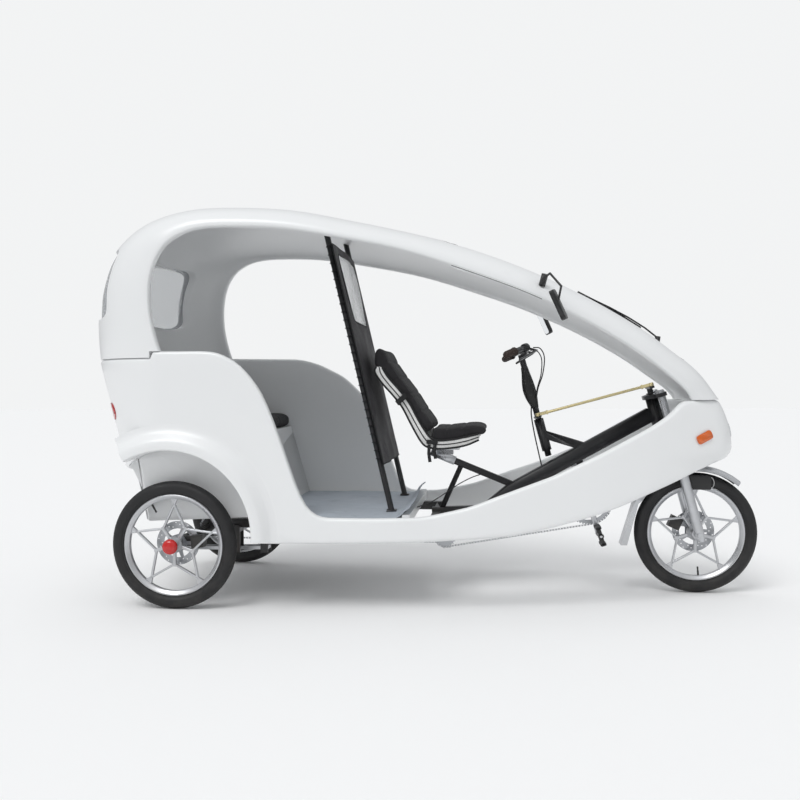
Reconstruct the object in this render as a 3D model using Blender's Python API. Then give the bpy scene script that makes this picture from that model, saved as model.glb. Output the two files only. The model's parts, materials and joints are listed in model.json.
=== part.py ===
"""Cycle rickshaw: a fully shelled three-wheeler with a two-place bench behind the rider.

Metres, +Z up, +X forward. Sizes below are given with x = 0 at the rear axle and z = 0 on the ground;
VEHICLE, an empty that carries every piece, shifts them so that the origin is the middle of the footprint.
"""

import math

import bpy
import bmesh
import numpy as np
from mathutils import Matrix, Vector

for old in list(bpy.data.objects):
    bpy.data.objects.remove(old, do_unlink=True)

# Driving dimensions.
REAR_AXLE_BACK = 0.978
WHEELBASE = 2.162
TRACK = 0.941
WHEEL_R = 0.26
TYRE_HALF = 0.0275
RIM_R = 0.2068
WHEEL_STEPS = 32
GAP = 0.0004

# Shell.
WALL = 0.035
TAIL_CENTRE_X = -0.045
TAIL_DEPTH = 0.418
TAIL_TUCK = 0.128
BODY_HALF = 0.505
NOSE_BELLY_Z = 0.635
NOSE_CURVE_UP, NOSE_CURVE_DOWN, NOSE_TUCK = 1.38, 12.0, 0.05
ARCH_X, ARCH_Z, ARCH_R = -0.01, 0.301, 0.345
SEAM_Z = 1.0205

# Steering: both axes lean back by the same angle.
RAKE = math.radians(15.0)
HEAD_TOP = Vector((WHEELBASE - 0.185, 0.0, 0.856))
COLUMN_AT_ROD = Vector((1.485, 0.0, 0.774))
STEER_DOWN = Vector((math.sin(RAKE), 0.0, -math.cos(RAKE)))
STEER_AHEAD = Vector((math.cos(RAKE), 0.0, math.sin(RAKE)))
ROD_SIDE = -0.07
ROD_DOWN = (COLUMN_AT_ROD - HEAD_TOP).dot(STEER_DOWN)
ROD_END_HALF = 0.008
STEERER_R, COLUMN_R = 0.0125, 0.0138
LEG_SIDE = 0.075
HEAD_R = 0.030
LEG_AHEAD = 0.028

# Drive.
CRANK_X, CRANK_Z = 1.70, 0.40
CRANK_LENGTH = 0.142
CRANK_ANGLE = math.radians(-73.0)
CHAIN_SIDE = -0.05
CHAINRING_R = 0.1025
JACK_X, JACK_Z, JACK_R = 1.08, 0.235, 0.045
JACK_REAR_R = 0.034
REAR_CHAIN_SIDE = 0.0
REAR_SPROCKET_R = 0.05
CHAIN_HALF = 0.004
SPINDLE_R = 0.0105

# Chassis.
BEAM_PATH = [(WHEELBASE - 0.190, 0, 0.772), (1.37, 0, 0.437), (1.25, 0, 0.337), (1.02, 0, 0.3266)]
BEAM_WIDE, BEAM_DEEP = 0.06, 0.062
SEAT_BAR = 0.028
POST_R = 0.0125
RAIL_SIDE = 0.30
LEAF_Z, LEAF_THICK = 0.2205, 0.014
RAIL_TOP = 0.3446
RAIL_BOTTOM = 0.3086
RAIL_BACK = 0.10
SPRING_CLAMPS = (0.215, 0.335)
FLOOR_BOTTOM, FLOOR_TOP = 0.345, 0.370

PAINTS = {
    "body_white": ((0.86, 0.87, 0.87), 0.35, 0.0),
    "frame_black": ((0.02, 0.02, 0.022), 0.4, 0.2),
    "silver": ((0.62, 0.63, 0.65), 0.3, 0.9),
    "steel": ((0.45, 0.46, 0.48), 0.3, 1.0),
    "tyre_rubber": ((0.02, 0.02, 0.02), 0.8, 0.0),
    "cushion_black": ((0.025, 0.023, 0.03), 0.85, 0.0),
    "cover_black": ((0.03, 0.028, 0.035), 0.8, 0.0),
    "clear_sheet": ((0.75, 0.78, 0.8), 0.15, 0.0),
    "screen": ((0.7, 0.75, 0.77), 0.08, 0.0),
    "mat_grey": ((0.45, 0.49, 0.54), 0.7, 0.0),
    "cap_red": ((0.65, 0.03, 0.03), 0.3, 0.0),
    "marker_orange": ((0.9, 0.2, 0.02), 0.25, 0.0),
    "lamp_clear": ((0.85, 0.86, 0.88), 0.1, 0.0),
    "lamp_red": ((0.6, 0.02, 0.02), 0.2, 0.0),
    "rod_zinc": ((0.72, 0.62, 0.35), 0.35, 0.9),
    "plastic_black": ((0.03, 0.03, 0.03), 0.5, 0.0),
    "grip_rubber": ((0.05, 0.03, 0.025), 0.8, 0.0),
}

VEHICLE = bpy.data.objects.new("vehicle", None)
VEHICLE.location = (-REAR_AXLE_BACK, 0, 0)
bpy.context.scene.collection.objects.link(VEHICLE)


def paint(name):
    """The material of this name, made on first use."""
    found = bpy.data.materials.get(name)
    if found:
        return found
    colour, roughness, metallic = PAINTS[name]
    made = bpy.data.materials.new(name)
    made.use_nodes = True
    shader = made.node_tree.nodes["Principled BSDF"]
    shader.inputs["Base Color"].default_value = (*colour, 1)
    shader.inputs["Roughness"].default_value = roughness
    shader.inputs["Metallic"].default_value = metallic
    made.diffuse_color = (*colour, 1)
    return made


def smooth(points, count):
    """A Catmull-Rom curve through points, at count places."""
    keys = np.array(points, float)
    keys = np.vstack([2 * keys[0] - keys[1], keys, 2 * keys[-1] - keys[-2]])
    spans = len(keys) - 3
    out = []
    for t in np.linspace(0, spans, count):
        i = min(int(t), spans - 1)
        u = t - i
        a, b, c, d = keys[i : i + 4]
        out.append(0.5 * (2 * b + (c - a) * u + (2 * a - 5 * b + 4 * c - d) * u * u
                          + (3 * b - a - 3 * c + d) * u ** 3))
    return np.array(out)


def grid_faces(rows, cols, wrap_rows, wrap_cols):
    faces = []
    for i in range(rows if wrap_rows else rows - 1):
        for j in range(cols if wrap_cols else cols - 1):
            k, m = (i + 1) % rows, (j + 1) % cols
            faces.append((i * cols + j, i * cols + m, k * cols + m, k * cols + j))
    return faces


def loft(sections, ring=False):
    """Closed loops of equal length skinned one to the next, with the two ends capped unless they meet."""
    loops = np.array(sections, float)
    rows, cols = loops.shape[:2]
    faces = grid_faces(rows, cols, ring, True)
    if not ring:
        faces.append(tuple(reversed(range(cols))))
        faces.append(tuple(range((rows - 1) * cols, rows * cols)))
    return loops.reshape(-1, 3), faces


def turned(profile, centre, steps=24, start=0.0, end=360.0):
    """A closed (radius, y) outline turned about the Y line through centre; degrees from +X up to +Z."""
    whole = end - start >= 360.0
    angles = np.radians(np.linspace(start, end, steps + 1))
    if whole:
        angles = angles[:-1]
    x, y, z = centre
    sections = [[(x + r * math.cos(a), y + h, z + r * math.sin(a)) for r, h in profile] for a in angles]
    return loft(sections, ring=whole)


def barrel(profile, start, end, sides=16):
    """(share along, radius) pairs turned about the line from start to end; flat ends."""
    start, end = Vector(start), Vector(end)
    axis = (end - start).normalized()
    side = axis.orthogonal().normalized()
    if abs(axis.y) < 0.999:
        side = (Vector((0, 1, 0)) - axis * axis.y).normalized()
    other = axis.cross(side)
    sections = []
    for share, radius in profile:
        at = start + (end - start) * share
        sections.append([tuple(at + (side * math.cos(a) + other * math.sin(a)) * radius)
                         for a in np.linspace(0, 2 * math.pi, sides, endpoint=False)])
    return loft(sections)


def rod(start, end, radius, sides=12):
    return barrel([(0, radius), (1, radius)], start, end, sides)


def tube(path, section, side=(0, 1, 0)):
    """A section of (side, up) offsets swept along a path with mitred corners."""
    path = [Vector(p) for p in path]
    runs = [(b - a).normalized() for a, b in zip(path, path[1:])]
    across = (Vector(side) - runs[0] * runs[0].dot(Vector(side))).normalized()
    rings = []
    for i, at in enumerate(path):
        before = runs[max(i - 1, 0)]
        after = runs[min(i, len(runs) - 1)]
        up = before.cross(across)
        mitre = (before + after).normalized()
        ring = []
        for s, u in section:
            off = across * s + up * u
            ring.append(tuple(at + off - before * (off.dot(mitre) / before.dot(mitre))))
        rings.append(ring)
        across = (before.rotation_difference(after).to_matrix() @ across).normalized()
    return loft(rings)


def round_section(radius, sides=10):
    return [(radius * math.cos(a), radius * math.sin(a)) for a in np.linspace(0, 2 * math.pi, sides, endpoint=False)]


def box_section(width, height, chamfer=0.0):
    w, h, c = width / 2, height / 2, chamfer
    if not c:
        return [(-w, -h), (w, -h), (w, h), (-w, h)]
    return [(-w + c, -h), (w - c, -h), (w, -h + c), (w, h - c), (w - c, h), (-w + c, h), (-w, h - c), (-w, -h + c)]


def block(low, high):
    (a, b, c), (d, e, f) = low, high
    return loft([[(a, b, c), (d, b, c), (d, e, c), (a, e, c)], [(a, b, f), (d, b, f), (d, e, f), (a, e, f)]])


def slab(outline, low, high, axis="y"):
    """A 2D outline pushed from low to high: (x, z) along Y, (x, y) along Z, (y, z) along X."""
    place = {"y": lambda u, v, t: (u, t, v), "z": lambda u, v, t: (u, v, t), "x": lambda u, v, t: (t, u, v)}[axis]
    return loft([[place(u, v, t) for u, v in outline] for t in (low, high)])


def rounded(outline, radius, steps=3):
    """The outline with each corner turned into a short arc."""
    pts = [Vector(p) for p in outline]
    out = []
    for i, at in enumerate(pts):
        back = pts[i - 1] - at
        ahead = pts[(i + 1) % len(pts)] - at
        reach = min(radius, back.length * 0.45, ahead.length * 0.45)
        a, b = at + back.normalized() * reach, at + ahead.normalized() * reach
        for t in np.linspace(0, 1, steps + 1):
            out.append(tuple(a * (1 - t) ** 2 + at * (2 * t * (1 - t)) + b * t * t))
    return out


def cushion(low, high, edge):
    """A block with rounded-over edges, lofted from its bottom to its top."""
    x0, y0, z0 = low
    x1, y1, z1 = high
    levels = ((z0, edge * 0.6), (z0 + edge * 0.5, 0.0), (z1 - edge, 0.0), (z1 - edge * 0.3, edge * 0.35), (z1, edge))
    sections = []
    for z, inset in levels:
        small = [(x0 + inset, y0 + inset), (x1 - inset, y0 + inset), (x1 - inset, y1 - inset), (x0 + inset, y1 - inset)]
        sections.append([(x, y, z) for x, y in rounded(small, edge * 1.5, 2)])
    return loft(sections)


def turned_round(shape, angle, centre, axis=(0, 1, 0)):
    """The shape turned by degrees about an axis through centre."""
    matrix = Matrix.Rotation(math.radians(angle), 3, Vector(axis))
    points = [tuple(matrix @ (Vector(p) - Vector(centre)) + Vector(centre)) for p in shape[0]]
    return np.array(points), shape[1]


def moved(shape, by):
    return np.array(shape[0], float) + np.array(by, float), shape[1]


def flipped(shape):
    """The shape on the other side of the vehicle."""
    return np.array(shape[0], float) * (1, -1, 1), [tuple(reversed(f)) for f in shape[1]]


def raw_object(name, shape):
    mesh = bpy.data.meshes.new(name)
    mesh.from_pydata([tuple(map(float, p)) for p in shape[0]], [], shape[1])
    work = bmesh.new()
    work.from_mesh(mesh)
    bmesh.ops.recalc_face_normals(work, faces=work.faces)
    if work.calc_volume(signed=True) < 0:
        bmesh.ops.reverse_faces(work, faces=work.faces)
    work.to_mesh(mesh)
    work.free()
    made = bpy.data.objects.new(name, mesh)
    bpy.context.scene.collection.objects.link(made)
    return made


def combined(name, steps):
    """One mesh from (operation, shape) steps, the first of them the base."""
    base = raw_object(name, steps[0][1])
    tools = []
    for i, (operation, shape) in enumerate(steps[1:]):
        tool = raw_object(f"{name}_tool_{i}", shape)
        tool.hide_render = True
        tool.display_type = "WIRE"
        modifier = base.modifiers.new(f"step_{i}", "BOOLEAN")
        modifier.operation = operation
        modifier.solver = "EXACT"
        modifier.object = tool
        tools.append(tool)
    if tools:
        bpy.context.view_layer.update()
        graph = bpy.context.evaluated_depsgraph_get()
        mesh = bpy.data.meshes.new_from_object(base.evaluated_get(graph))
        base.modifiers.clear()
        base.data = mesh
        for tool in tools:
            bpy.data.objects.remove(tool, do_unlink=True)
    return base


def carved(shape, cutter):
    """The shape with the cutter's room taken out of it."""
    made = combined("carved", [("UNION", shape), ("DIFFERENCE", cutter)])
    points = np.array([tuple(v.co) for v in made.data.vertices])
    faces = [tuple(f.vertices) for f in made.data.polygons]
    bpy.data.objects.remove(made, do_unlink=True)
    return points, faces


def piece(name, colour, add, cut=(), keep=None, origin=(0, 0, 0)):
    """A named piece: shapes joined, others cut away, and the rest kept only inside keep."""
    steps = [("UNION", shape) for shape in add]
    if keep is not None:
        steps.append(("INTERSECT", keep))
    steps += [("DIFFERENCE", shape) for shape in cut]
    made = combined(name, steps)
    made.data.transform(Matrix.Translation(-Vector(origin)))
    made.location = origin
    made.parent = VEHICLE
    made.data.materials.clear()
    made.data.materials.append(paint(colour))
    for polygon in made.data.polygons:
        polygon.material_index = 0
    return made


def pair(name, colour, add, cut=(), keep=None, origin=(0, 0, 0)):
    """The piece on the right-hand side (-Y) and its mirror on the left."""
    piece(f"{name}_right", colour, add, cut, keep, origin)
    x, y, z = origin
    piece(f"{name}_left", colour, [flipped(s) for s in add], [flipped(s) for s in cut],
          flipped(keep) if keep is not None else None, (x, -y, z))


def at_steer(down, ahead=0.0, side=0.0):
    """A place measured down the steering axis from its top, ahead of it and to the side."""
    return HEAD_TOP + STEER_DOWN * down + STEER_AHEAD * ahead + Vector((0, side, 0))


def at_column(up, ahead=0.0, side=0.0):
    """A place measured up the handlebar column from the rod's height."""
    return COLUMN_AT_ROD - STEER_DOWN * up + STEER_AHEAD * ahead + Vector((0, side, 0))


# Lower body: a plan outline that changes with height, and its top and bottom edges by x.
# Columns: x, half width.
SIDE_PLAN = [
    (-0.045, 0.505), (0.20, 0.505), (0.60, 0.505), (0.90, 0.49), (1.05, 0.47), (1.25, 0.45), (1.50, 0.41),
    (1.73, 0.362), (1.94, 0.292), (2.06, 0.240), (2.16, 0.193), (2.243, 0.145), (2.287, 0.092), (2.303, 0.045),
    (2.308, 0.0),
]
NOSE_ROW = 8
# Columns: x, height of the top edge.
TOP_EDGE = [
    (-0.5, 1.02), (-0.086, 1.02), (-0.074, 1.046), (0.137, 1.046), (0.194, 1.040), (0.275, 0.998), (0.323, 0.9465),
    (0.371, 0.883), (0.402, 0.812), (0.441, 0.710), (0.481, 0.592), (0.512, 0.4985), (0.539, 0.435),
    (0.5755, 0.396), (0.614, 0.379), (0.80, 0.377), (1.0, 0.380), (1.05, 0.387), (1.20, 0.42), (1.336, 0.470),
    (1.531, 0.539), (1.728, 0.627), (1.936, 0.731), (2.002, 0.768), (2.10, 0.8355), (2.4, 0.8355),
]
# The left side panel reaches further forward than the right one.
PANEL_LEFT = [
    (-0.074, 1.046), (0.30, 1.040), (0.345, 1.032), (0.414, 1.012), (0.54, 0.949), (0.636, 0.858), (0.698, 0.7545),
    (0.749, 0.627), (0.789, 0.505), (0.815, 0.432), (0.845, 0.396), (0.88, 0.379),
]
# Columns: x, height of the bottom edge.
BOTTOM_EDGE = [
    (-0.5, 0.56), (-0.21, 0.56), (-0.17, 0.40), (0.0, 0.275), (0.405, 0.273), (0.85, 0.279), (1.05, 0.283),
    (1.19, 0.291), (1.365, 0.303), (1.53, 0.3345), (1.697, 0.378), (1.794, 0.409), (1.881, 0.443), (1.961, 0.4745),
    (2.032, 0.501), (2.128, 0.540), (2.20, 0.566), (2.25, 0.582), (2.4, 0.60),
]
TAIL_ANGLES = [0, 10, 20, 30, 40, 50, 60, 70, 80, 84.37, 86.02]
EDGE_TRIES = 30
DIAGONAL_TIE = 1e-6
SIDE_STEPS = [
    -0.045, 0.03, 0.137, 0.194, 0.24, 0.275, 0.323, 0.371, 0.402, 0.441, 0.481, 0.512, 0.539, 0.5755,
    0.614, 0.66, 0.70, 0.75, 0.80, 0.85, 0.90, 1.0, 1.1, 1.2, 1.336, 1.43, 1.531, 1.63, 1.728, 1.83, 1.936,
]
NOSE_STEPS = 10


def at_edge(table, x):
    return float(np.interp(x, [row[0] for row in table], [row[1] for row in table]))


TOP_EDGE_LEFT = [row for row in TOP_EDGE if row[0] < PANEL_LEFT[0][0]] + PANEL_LEFT
TOP_EDGE_LEFT += [row for row in TOP_EDGE if row[0] > PANEL_LEFT[-1][0]]


def plan_keys():
    """Half of the outline at its widest height, from the tail's middle to the nose's tip: kind, u, half width."""
    keys = [("tail", angle, 0.0) for angle in TAIL_ANGLES]
    curve = smooth(SIDE_PLAN, 400)
    keys += [("side", x, float(np.interp(x, curve[:, 0], curve[:, 1]))) for x in SIDE_STEPS]
    nose = smooth(SIDE_PLAN[NOSE_ROW:], NOSE_STEPS + 1)[1:]
    keys += [("side", float(x), max(float(y), 0.0)) for x, y in nose]
    return keys


def outline_at(key, z):
    """The outer surface for one station of the plan at height z."""
    kind, u, half = key
    if kind == "tail":
        tuck = TAIL_TUCK * max(1.0 - z, 0.0) / 0.43
        angle = math.radians(u)
        return TAIL_CENTRE_X - (TAIL_DEPTH - tuck) * math.cos(angle), BODY_HALF * math.sin(angle)
    rise = z - NOSE_BELLY_Z
    shift = -NOSE_CURVE_UP * rise * rise if rise > 0 else -min(NOSE_CURVE_DOWN * rise * rise, NOSE_TUCK)
    share = min(max((u - 1.9) / 0.4, 0.0), 1.0)
    share = share * share * (3 - 2 * share)
    return u + shift * share, half


def plan_loop(z, inset):
    """The closed plan outline at one height, set in from the outer face."""
    keys = plan_keys()
    half = [outline_at(key, z) for key in keys]
    loop = np.array(half + [(x, -y) for x, y in reversed(half[1:-1])])
    ahead = np.roll(loop, -1, axis=0) - np.roll(loop, 1, axis=0)
    normal = np.stack([ahead[:, 1], -ahead[:, 0]], axis=1)
    normal /= np.linalg.norm(normal, axis=1)[:, None]
    if np.dot(normal[0], loop[0] - loop.mean(axis=0)) > 0:
        normal = -normal
    return loop + normal * inset


# Columns: share of the wall's thickness in from the outer face, drop from the edge as a share of the wall.
EDGE_ROUND = [(0.0, 0.45), (0.14, 0.13), (0.5, 0.0), (0.86, 0.13), (1.0, 0.45)]
WALL_LEVELS = (0.22, 0.47, 0.73)


def lower_body_ring(grow=0.0):
    """The wall all the way round, with its outer face moved out by grow."""
    keys = plan_keys()
    full = keys + [("mirror", i, 0.0) for i in range(len(keys) - 2, 0, -1)]
    sections = []
    for n, key in enumerate(full):
        index = key[1] if key[0] == "mirror" else n
        base = keys[index]
        x_mid = outline_at(base, SEAM_Z if base[0] == "tail" else NOSE_BELLY_Z)[0]
        top = at_edge(TOP_EDGE_LEFT if n == index else TOP_EDGE, x_mid)
        bottom = at_edge(BOTTOM_EDGE, x_mid)
        for _ in range(EDGE_TRIES):
            bottom += 0.4 * (at_edge(BOTTOM_EDGE, outline_at(base, bottom)[0]) - bottom)
        low = bottom + 0.3 * WALL
        rise = [low + (top - 0.45 * WALL - low) * s for s in WALL_LEVELS]
        marks = [(0.3, bottom), (0.0, low)] + [(0.0, z) for z in rise]
        marks += [(share, top - drop * WALL) for share, drop in EDGE_ROUND]
        marks += [(1.0, z) for z in reversed(rise)] + [(1.0, low), (0.7, bottom)]
        sections.append([(n, share, z) for share, z in marks])
    loops = {}
    points = []
    for section in sections:
        row = []
        for n, share, z in section:
            ident = (round(z, 5), share)
            if ident not in loops:
                loops[ident] = plan_loop(z, share * WALL - grow)
            x, y = loops[ident][n]
            row.append((x, y, z))
        points.append(row)
    corners, quads = loft(points, ring=True)
    faces = []
    for i, (a, b, c, d) in enumerate(quads):
        across = (Vector(corners[a]) - Vector(corners[c])).length
        other = (Vector(corners[b]) - Vector(corners[d])).length
        if across < other - DIAGONAL_TIE or (abs(across - other) <= DIAGONAL_TIE and i < len(quads) // 2):
            faces += [(a, b, c), (a, c, d)]
        else:
            faces += [(a, b, d), (b, c, d)]
    return corners, faces


def body_plug(inset, low=0.20, high=1.10):
    """Everything inside the body's wall, set in by inset."""
    levels = np.linspace(low, high, 10)
    return loft([[(x, y, z) for x, y in plan_loop(z, inset)] for z in levels])


# Roof shell rows. Columns: x and z on the middle line, then x, half width and z at the edge.
ROOF_ROWS = [
    (-0.463, SEAM_Z, -0.045, 0.505, SEAM_Z),
    (-0.466, 1.10, -0.075, 0.505, 1.11),
    (-0.464, 1.20, -0.094, 0.505, 1.21),
    (-0.45, 1.32, -0.095, 0.505, 1.315),
    (-0.40, 1.457, -0.075, 0.50, 1.405),
    (-0.31, 1.56, -0.035, 0.495, 1.475),
    (-0.18, 1.637, 0.02, 0.488, 1.518),
    (0.0, 1.680, 0.10, 0.482, 1.547),
    (0.2, 1.686, 0.22, 0.473, 1.556),
    (0.45, 1.668, 0.45, 0.463, 1.545),
    (0.7, 1.618, 0.7, 0.45, 1.503),
    (0.95, 1.562, 0.95, 0.432, 1.448),
    (1.2, 1.498, 1.2, 0.41, 1.366),
    (1.45, 1.405, 1.45, 0.38, 1.272),
    (1.7, 1.284, 1.68, 0.338, 1.162),
    (1.9, 1.165, 1.87, 0.295, 1.05),
    (2.05, 1.052, 2.0, 0.258, 0.955),
    (2.165, 0.955, 2.08, 0.222, 0.887),
    (2.254, 0.8372, 2.112, 0.190, 0.8372),
]
ROOF_COLUMNS = 14
ROOF_COUNT = 32


def roof_grid():
    """Points of the roof's outer face, row by row from the tail seam to the nose seam."""
    rows = smooth(ROOF_ROWS, ROOF_COUNT)
    rows[0, [1, 4]] = SEAM_Z
    grid = []
    for xc, zc, xe, half, ze in rows:
        line = []
        for a in np.linspace(-90, 90, ROOF_COLUMNS + 1):
            c = 1 - math.cos(math.radians(a))
            line.append((xc + (xe - xc) * c, half * math.sin(math.radians(a)), zc + (ze - zc) * c))
        grid.append(line)
    return np.array(grid)


def roof_normals(grid):
    """Unit vectors that point out of the roof's outer face."""
    along = np.gradient(grid, axis=0)
    across = np.gradient(grid, axis=1)
    normal = np.cross(along, across)
    normal /= np.linalg.norm(normal, axis=2)[:, :, None]
    centre = np.array((0.6, 0.0, 0.9))
    if (normal * (grid - centre)).sum() < 0:
        normal = -normal
    return normal


def roof_skin(outer, inner, rows=slice(None)):
    """A shell between two depths below the roof's outer face."""
    grid = roof_grid()
    normal = roof_normals(grid)
    normal[0, :, 2] = 0.0
    normal[0] /= np.linalg.norm(normal[0], axis=1)[:, None]
    normal[-1, :, 2] = 0.0
    normal[-1] /= np.linalg.norm(normal[-1], axis=1)[:, None]
    top = (grid - normal * outer)[rows]
    low = (grid - normal * inner)[rows]
    swell = (inner - outer) * 0.22 if inner - outer > WALL / 2 else 0.0
    sections = []
    for a, b in zip(top, low):
        section = list(a) + rim_points(a[-1], b[-1], a[-1] - a[-2], swell)
        section += list(b[::-1]) + rim_points(b[0], a[0], a[0] - a[1], swell)
        sections.append(section)
    return loft(sections)


def rim_points(start, end, away, swell):
    """Two places that round the rim between the faces of the shell."""
    if not swell:
        return []
    away = away / np.linalg.norm(away)
    away[2] = min(away[2], 0.0)
    return [start * 0.7 + end * 0.3 + away * swell, start * 0.3 + end * 0.7 + away * swell]


SCREEN_PLAN = [(1.08, -0.27), (1.45, -0.25), (1.80, -0.20), (2.11, -0.115), (2.11, 0.115), (1.80, 0.20),
               (1.45, 0.25), (1.08, 0.27)]
TAIL_WINDOW = [(-0.42, 1.19), (0.42, 1.19), (0.40, 1.485), (-0.40, 1.485)]


def shrunk(outline, by):
    middle = np.array(outline).mean(axis=0)
    size = np.ptp(np.array(outline), axis=0)
    return [tuple(middle + (np.array(p) - middle) * (1 - 2 * by / size)) for p in outline]


def shell_pieces():
    ring = lower_body_ring()
    flare_profile = [(0.345, -0.455), (0.345, -0.538), (0.351, -0.545), (0.372, -0.545), (0.388, -0.539),
                     (0.405, -0.524), (0.432, -0.507), (0.432, -0.455)]
    flare = turned(flare_profile, (ARCH_X, 0, ARCH_Z), 20, -3.0, 121.0)
    arch = rod((ARCH_X, -0.7, ARCH_Z), (ARCH_X, -0.40, ARCH_Z), ARCH_R, 40)
    flare = carved(flare, body_plug(WALL * 0.7))
    piece("lower_body", "body_white", [ring, flare, flipped(flare)], [arch, flipped(arch)])
    screen_hole = slab(rounded(SCREEN_PLAN, 0.07), 0.7, 1.9, "z")
    window_hole = slab(rounded(TAIL_WINDOW, 0.06), -0.8, -0.19, "x")
    step = block((-0.088, -0.6, 0.95), (0.25, 0.6, 1.0465))
    piece("roof_shell", "body_white", [roof_skin(0.0, WALL)], [screen_hole, window_hole, step])
    pane = slab(rounded(shrunk(SCREEN_PLAN, 0.0006), 0.07), 0.7, 1.9, "z")
    piece("windscreen", "screen", [roof_skin(0.008, 0.013)], keep=pane)
    pane = slab(rounded(shrunk(TAIL_WINDOW, 0.0006), 0.06), -0.8, -0.19, "x")
    piece("rear_window", "clear_sheet", [roof_skin(0.012, 0.017)], keep=pane)


def cabin_pieces():
    plug = body_plug(WALL + 0.0014)
    hull_half = TRACK / 2 - 0.0505
    hull = [(-0.33, 0.70), (-0.262, 0.56), (-0.205, 0.45), (-0.175, 0.3452), (0.36, 0.3704), (0.267, 0.70)]
    hollow = [(-0.285, 0.672), (-0.236, 0.56), (-0.179, 0.45), (-0.14, 0.30), (0.335, 0.30), (0.335, 0.39),
              (0.242, 0.672)]
    front = [(0.242, 0.672), (0.335, 0.3705), (0.36, 0.3705), (0.267, 0.70), (0.239, 0.70)]
    piece("seat_base", "body_white",
          [slab(hull, -hull_half, hull_half), block((-0.42, -0.5, 0.672), (0.258, 0.5, 0.70)), slab(front, -0.5, 0.5)],
          [slab(hollow, 0.025 - hull_half, hull_half - 0.025)], keep=plug)
    lip = block((0.93, -0.5, 0.36), (0.96, 0.5, 0.386))
    piece("floor_pan", "body_white",
          [block((0.3605, -0.5, FLOOR_BOTTOM), (0.96, 0.5, FLOOR_TOP)), lip],
          keep=body_plug(WALL + GAP))
    piece("floor_mat", "mat_grey", [block((0.362, -0.44, FLOOR_TOP + GAP), (0.925, 0.44, FLOOR_TOP + 0.006))])
    piece("passenger_cushion", "cushion_black",
          [cushion((-0.26, -0.455, 0.7004), (0.277, 0.455, 0.768), 0.024)], keep=body_plug(WALL + 0.002))
    back = cushion((-0.235, -0.352, 0.7646), (-0.165, 0.352, 1.012), 0.02)
    piece("passenger_backrest", "cushion_black", [turned_round(back, -18, (-0.235, 0, 0.7646))])


def divider_pieces():
    foot_x, foot_z, top_x, top_z = 0.868, FLOOR_TOP + 0.0068, 0.585, 1.60
    slope = (top_x - foot_x) / (top_z - foot_z)

    def x_at(z):
        return foot_x + slope * (z - foot_z)

    post = tube([(x_at(foot_z + 0.005), -0.27, foot_z + 0.005), (x_at(1.62), -0.27, 1.62)], round_section(POST_R, 12))
    foot = block((foot_x - 0.02, -0.29, foot_z), (foot_x + 0.02, -0.25, foot_z + 0.007))
    bars = [tube([(x_at(z), -0.28, z), (x_at(z), 0.28, z)], round_section(0.009, 10), side=(0, 0, 1))
            for z in (0.60, 1.13, 1.49)]
    piece("divider_frame", "frame_black", [post, flipped(post), foot, flipped(foot)] + bars,
          [roof_skin(-0.01, WALL + GAP)])
    sheet_rear = (POST_R + GAP) / math.cos(math.atan(slope))

    def panel(low, high, half, rear, front):
        return slab([(x_at(low) + rear, low), (x_at(low) + front, low), (x_at(high) + front, high),
                     (x_at(high) + rear, high)], -half, half)

    low, high, half = 1.18, 1.47, 0.20
    hole = slab(rounded([(-half, low), (half, low), (half, high), (-half, high)], 0.03), 0.2, 1.2, "x")
    edge = GAP
    pane = slab(rounded([(edge - half, low + edge), (half - edge, low + edge), (half - edge, high - edge),
                         (edge - half, high - edge)], 0.03), 0.2, 1.2, "x")
    piece("divider_cover", "cover_black", [panel(0.575, 1.50, 0.285, sheet_rear, sheet_rear + 0.005)], [hole])
    piece("divider_window", "clear_sheet", [panel(1.1, 1.5, 0.25, sheet_rear + 0.001, sheet_rear + 0.003)], keep=pane)


def wheel_pieces(name, x, y):
    """A wheel about the Y line through x, y: tyre, and rim, hub and star of spokes in one casting."""
    at = (x, y, WHEEL_R)
    tyre = [(0.2075, -0.017), (0.2075, 0.017), (0.219, 0.0245), (0.234, TYRE_HALF), (0.251, 0.020),
            (WHEEL_R, 0.005), (WHEEL_R, -0.005), (0.251, -0.020), (0.234, -TYRE_HALF), (0.219, -0.0245)]
    piece(f"{name}_tyre", "tyre_rubber", [turned(tyre, at, WHEEL_STEPS)], origin=at)
    rim = [(RIM_R, -0.0165), (RIM_R, 0.0165), (0.201, 0.0205), (0.187, 0.010), (0.187, -0.010), (0.201, -0.0205)]
    hub = [(0.0115, -0.046), (0.022, -0.046), (0.026, -0.02), (0.032, -0.008), (0.032, 0.008), (0.026, 0.02),
           (0.022, 0.046), (0.0115, 0.046)]
    parts = [turned(rim, at, WHEEL_STEPS), turned(hub, at, 16)]
    for k in range(5):
        valley = 54 + 72 * k
        parts.append(spoke(at, (0.02, valley), (0.086, valley), 0.013, 0.014))
        for way in (1, -1):
            tip = valley + 36 * way
            parts.append(spoke(at, (0.076, valley - 2 * way), (0.1915, tip + 4 * way), 0.0098, 0.015))
    piece(f"{name}_wheel", "silver", parts, origin=at)


def spoke(at, start, end, width, depth):
    """A bar between two (radius, degrees) places in the wheel's plane."""
    x, y, z = at
    a, b = [(x + r * math.cos(math.radians(t)), y, z + r * math.sin(math.radians(t))) for r, t in (start, end)]
    return tube([a, b], box_section(depth, width))


def disc_profile(inner, outer, middle, thick):
    return [(inner, middle - thick / 2), (outer, middle - thick / 2), (outer, middle + thick / 2),
            (inner, middle + thick / 2)]


def plate_disc(at, radius, side, sides):
    """A thin solid disc across the Y line, centred at side."""
    x, y, z = at
    return rod((x, y + side - 0.002, z), (x, y + side + 0.002, z), radius, sides)


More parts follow.
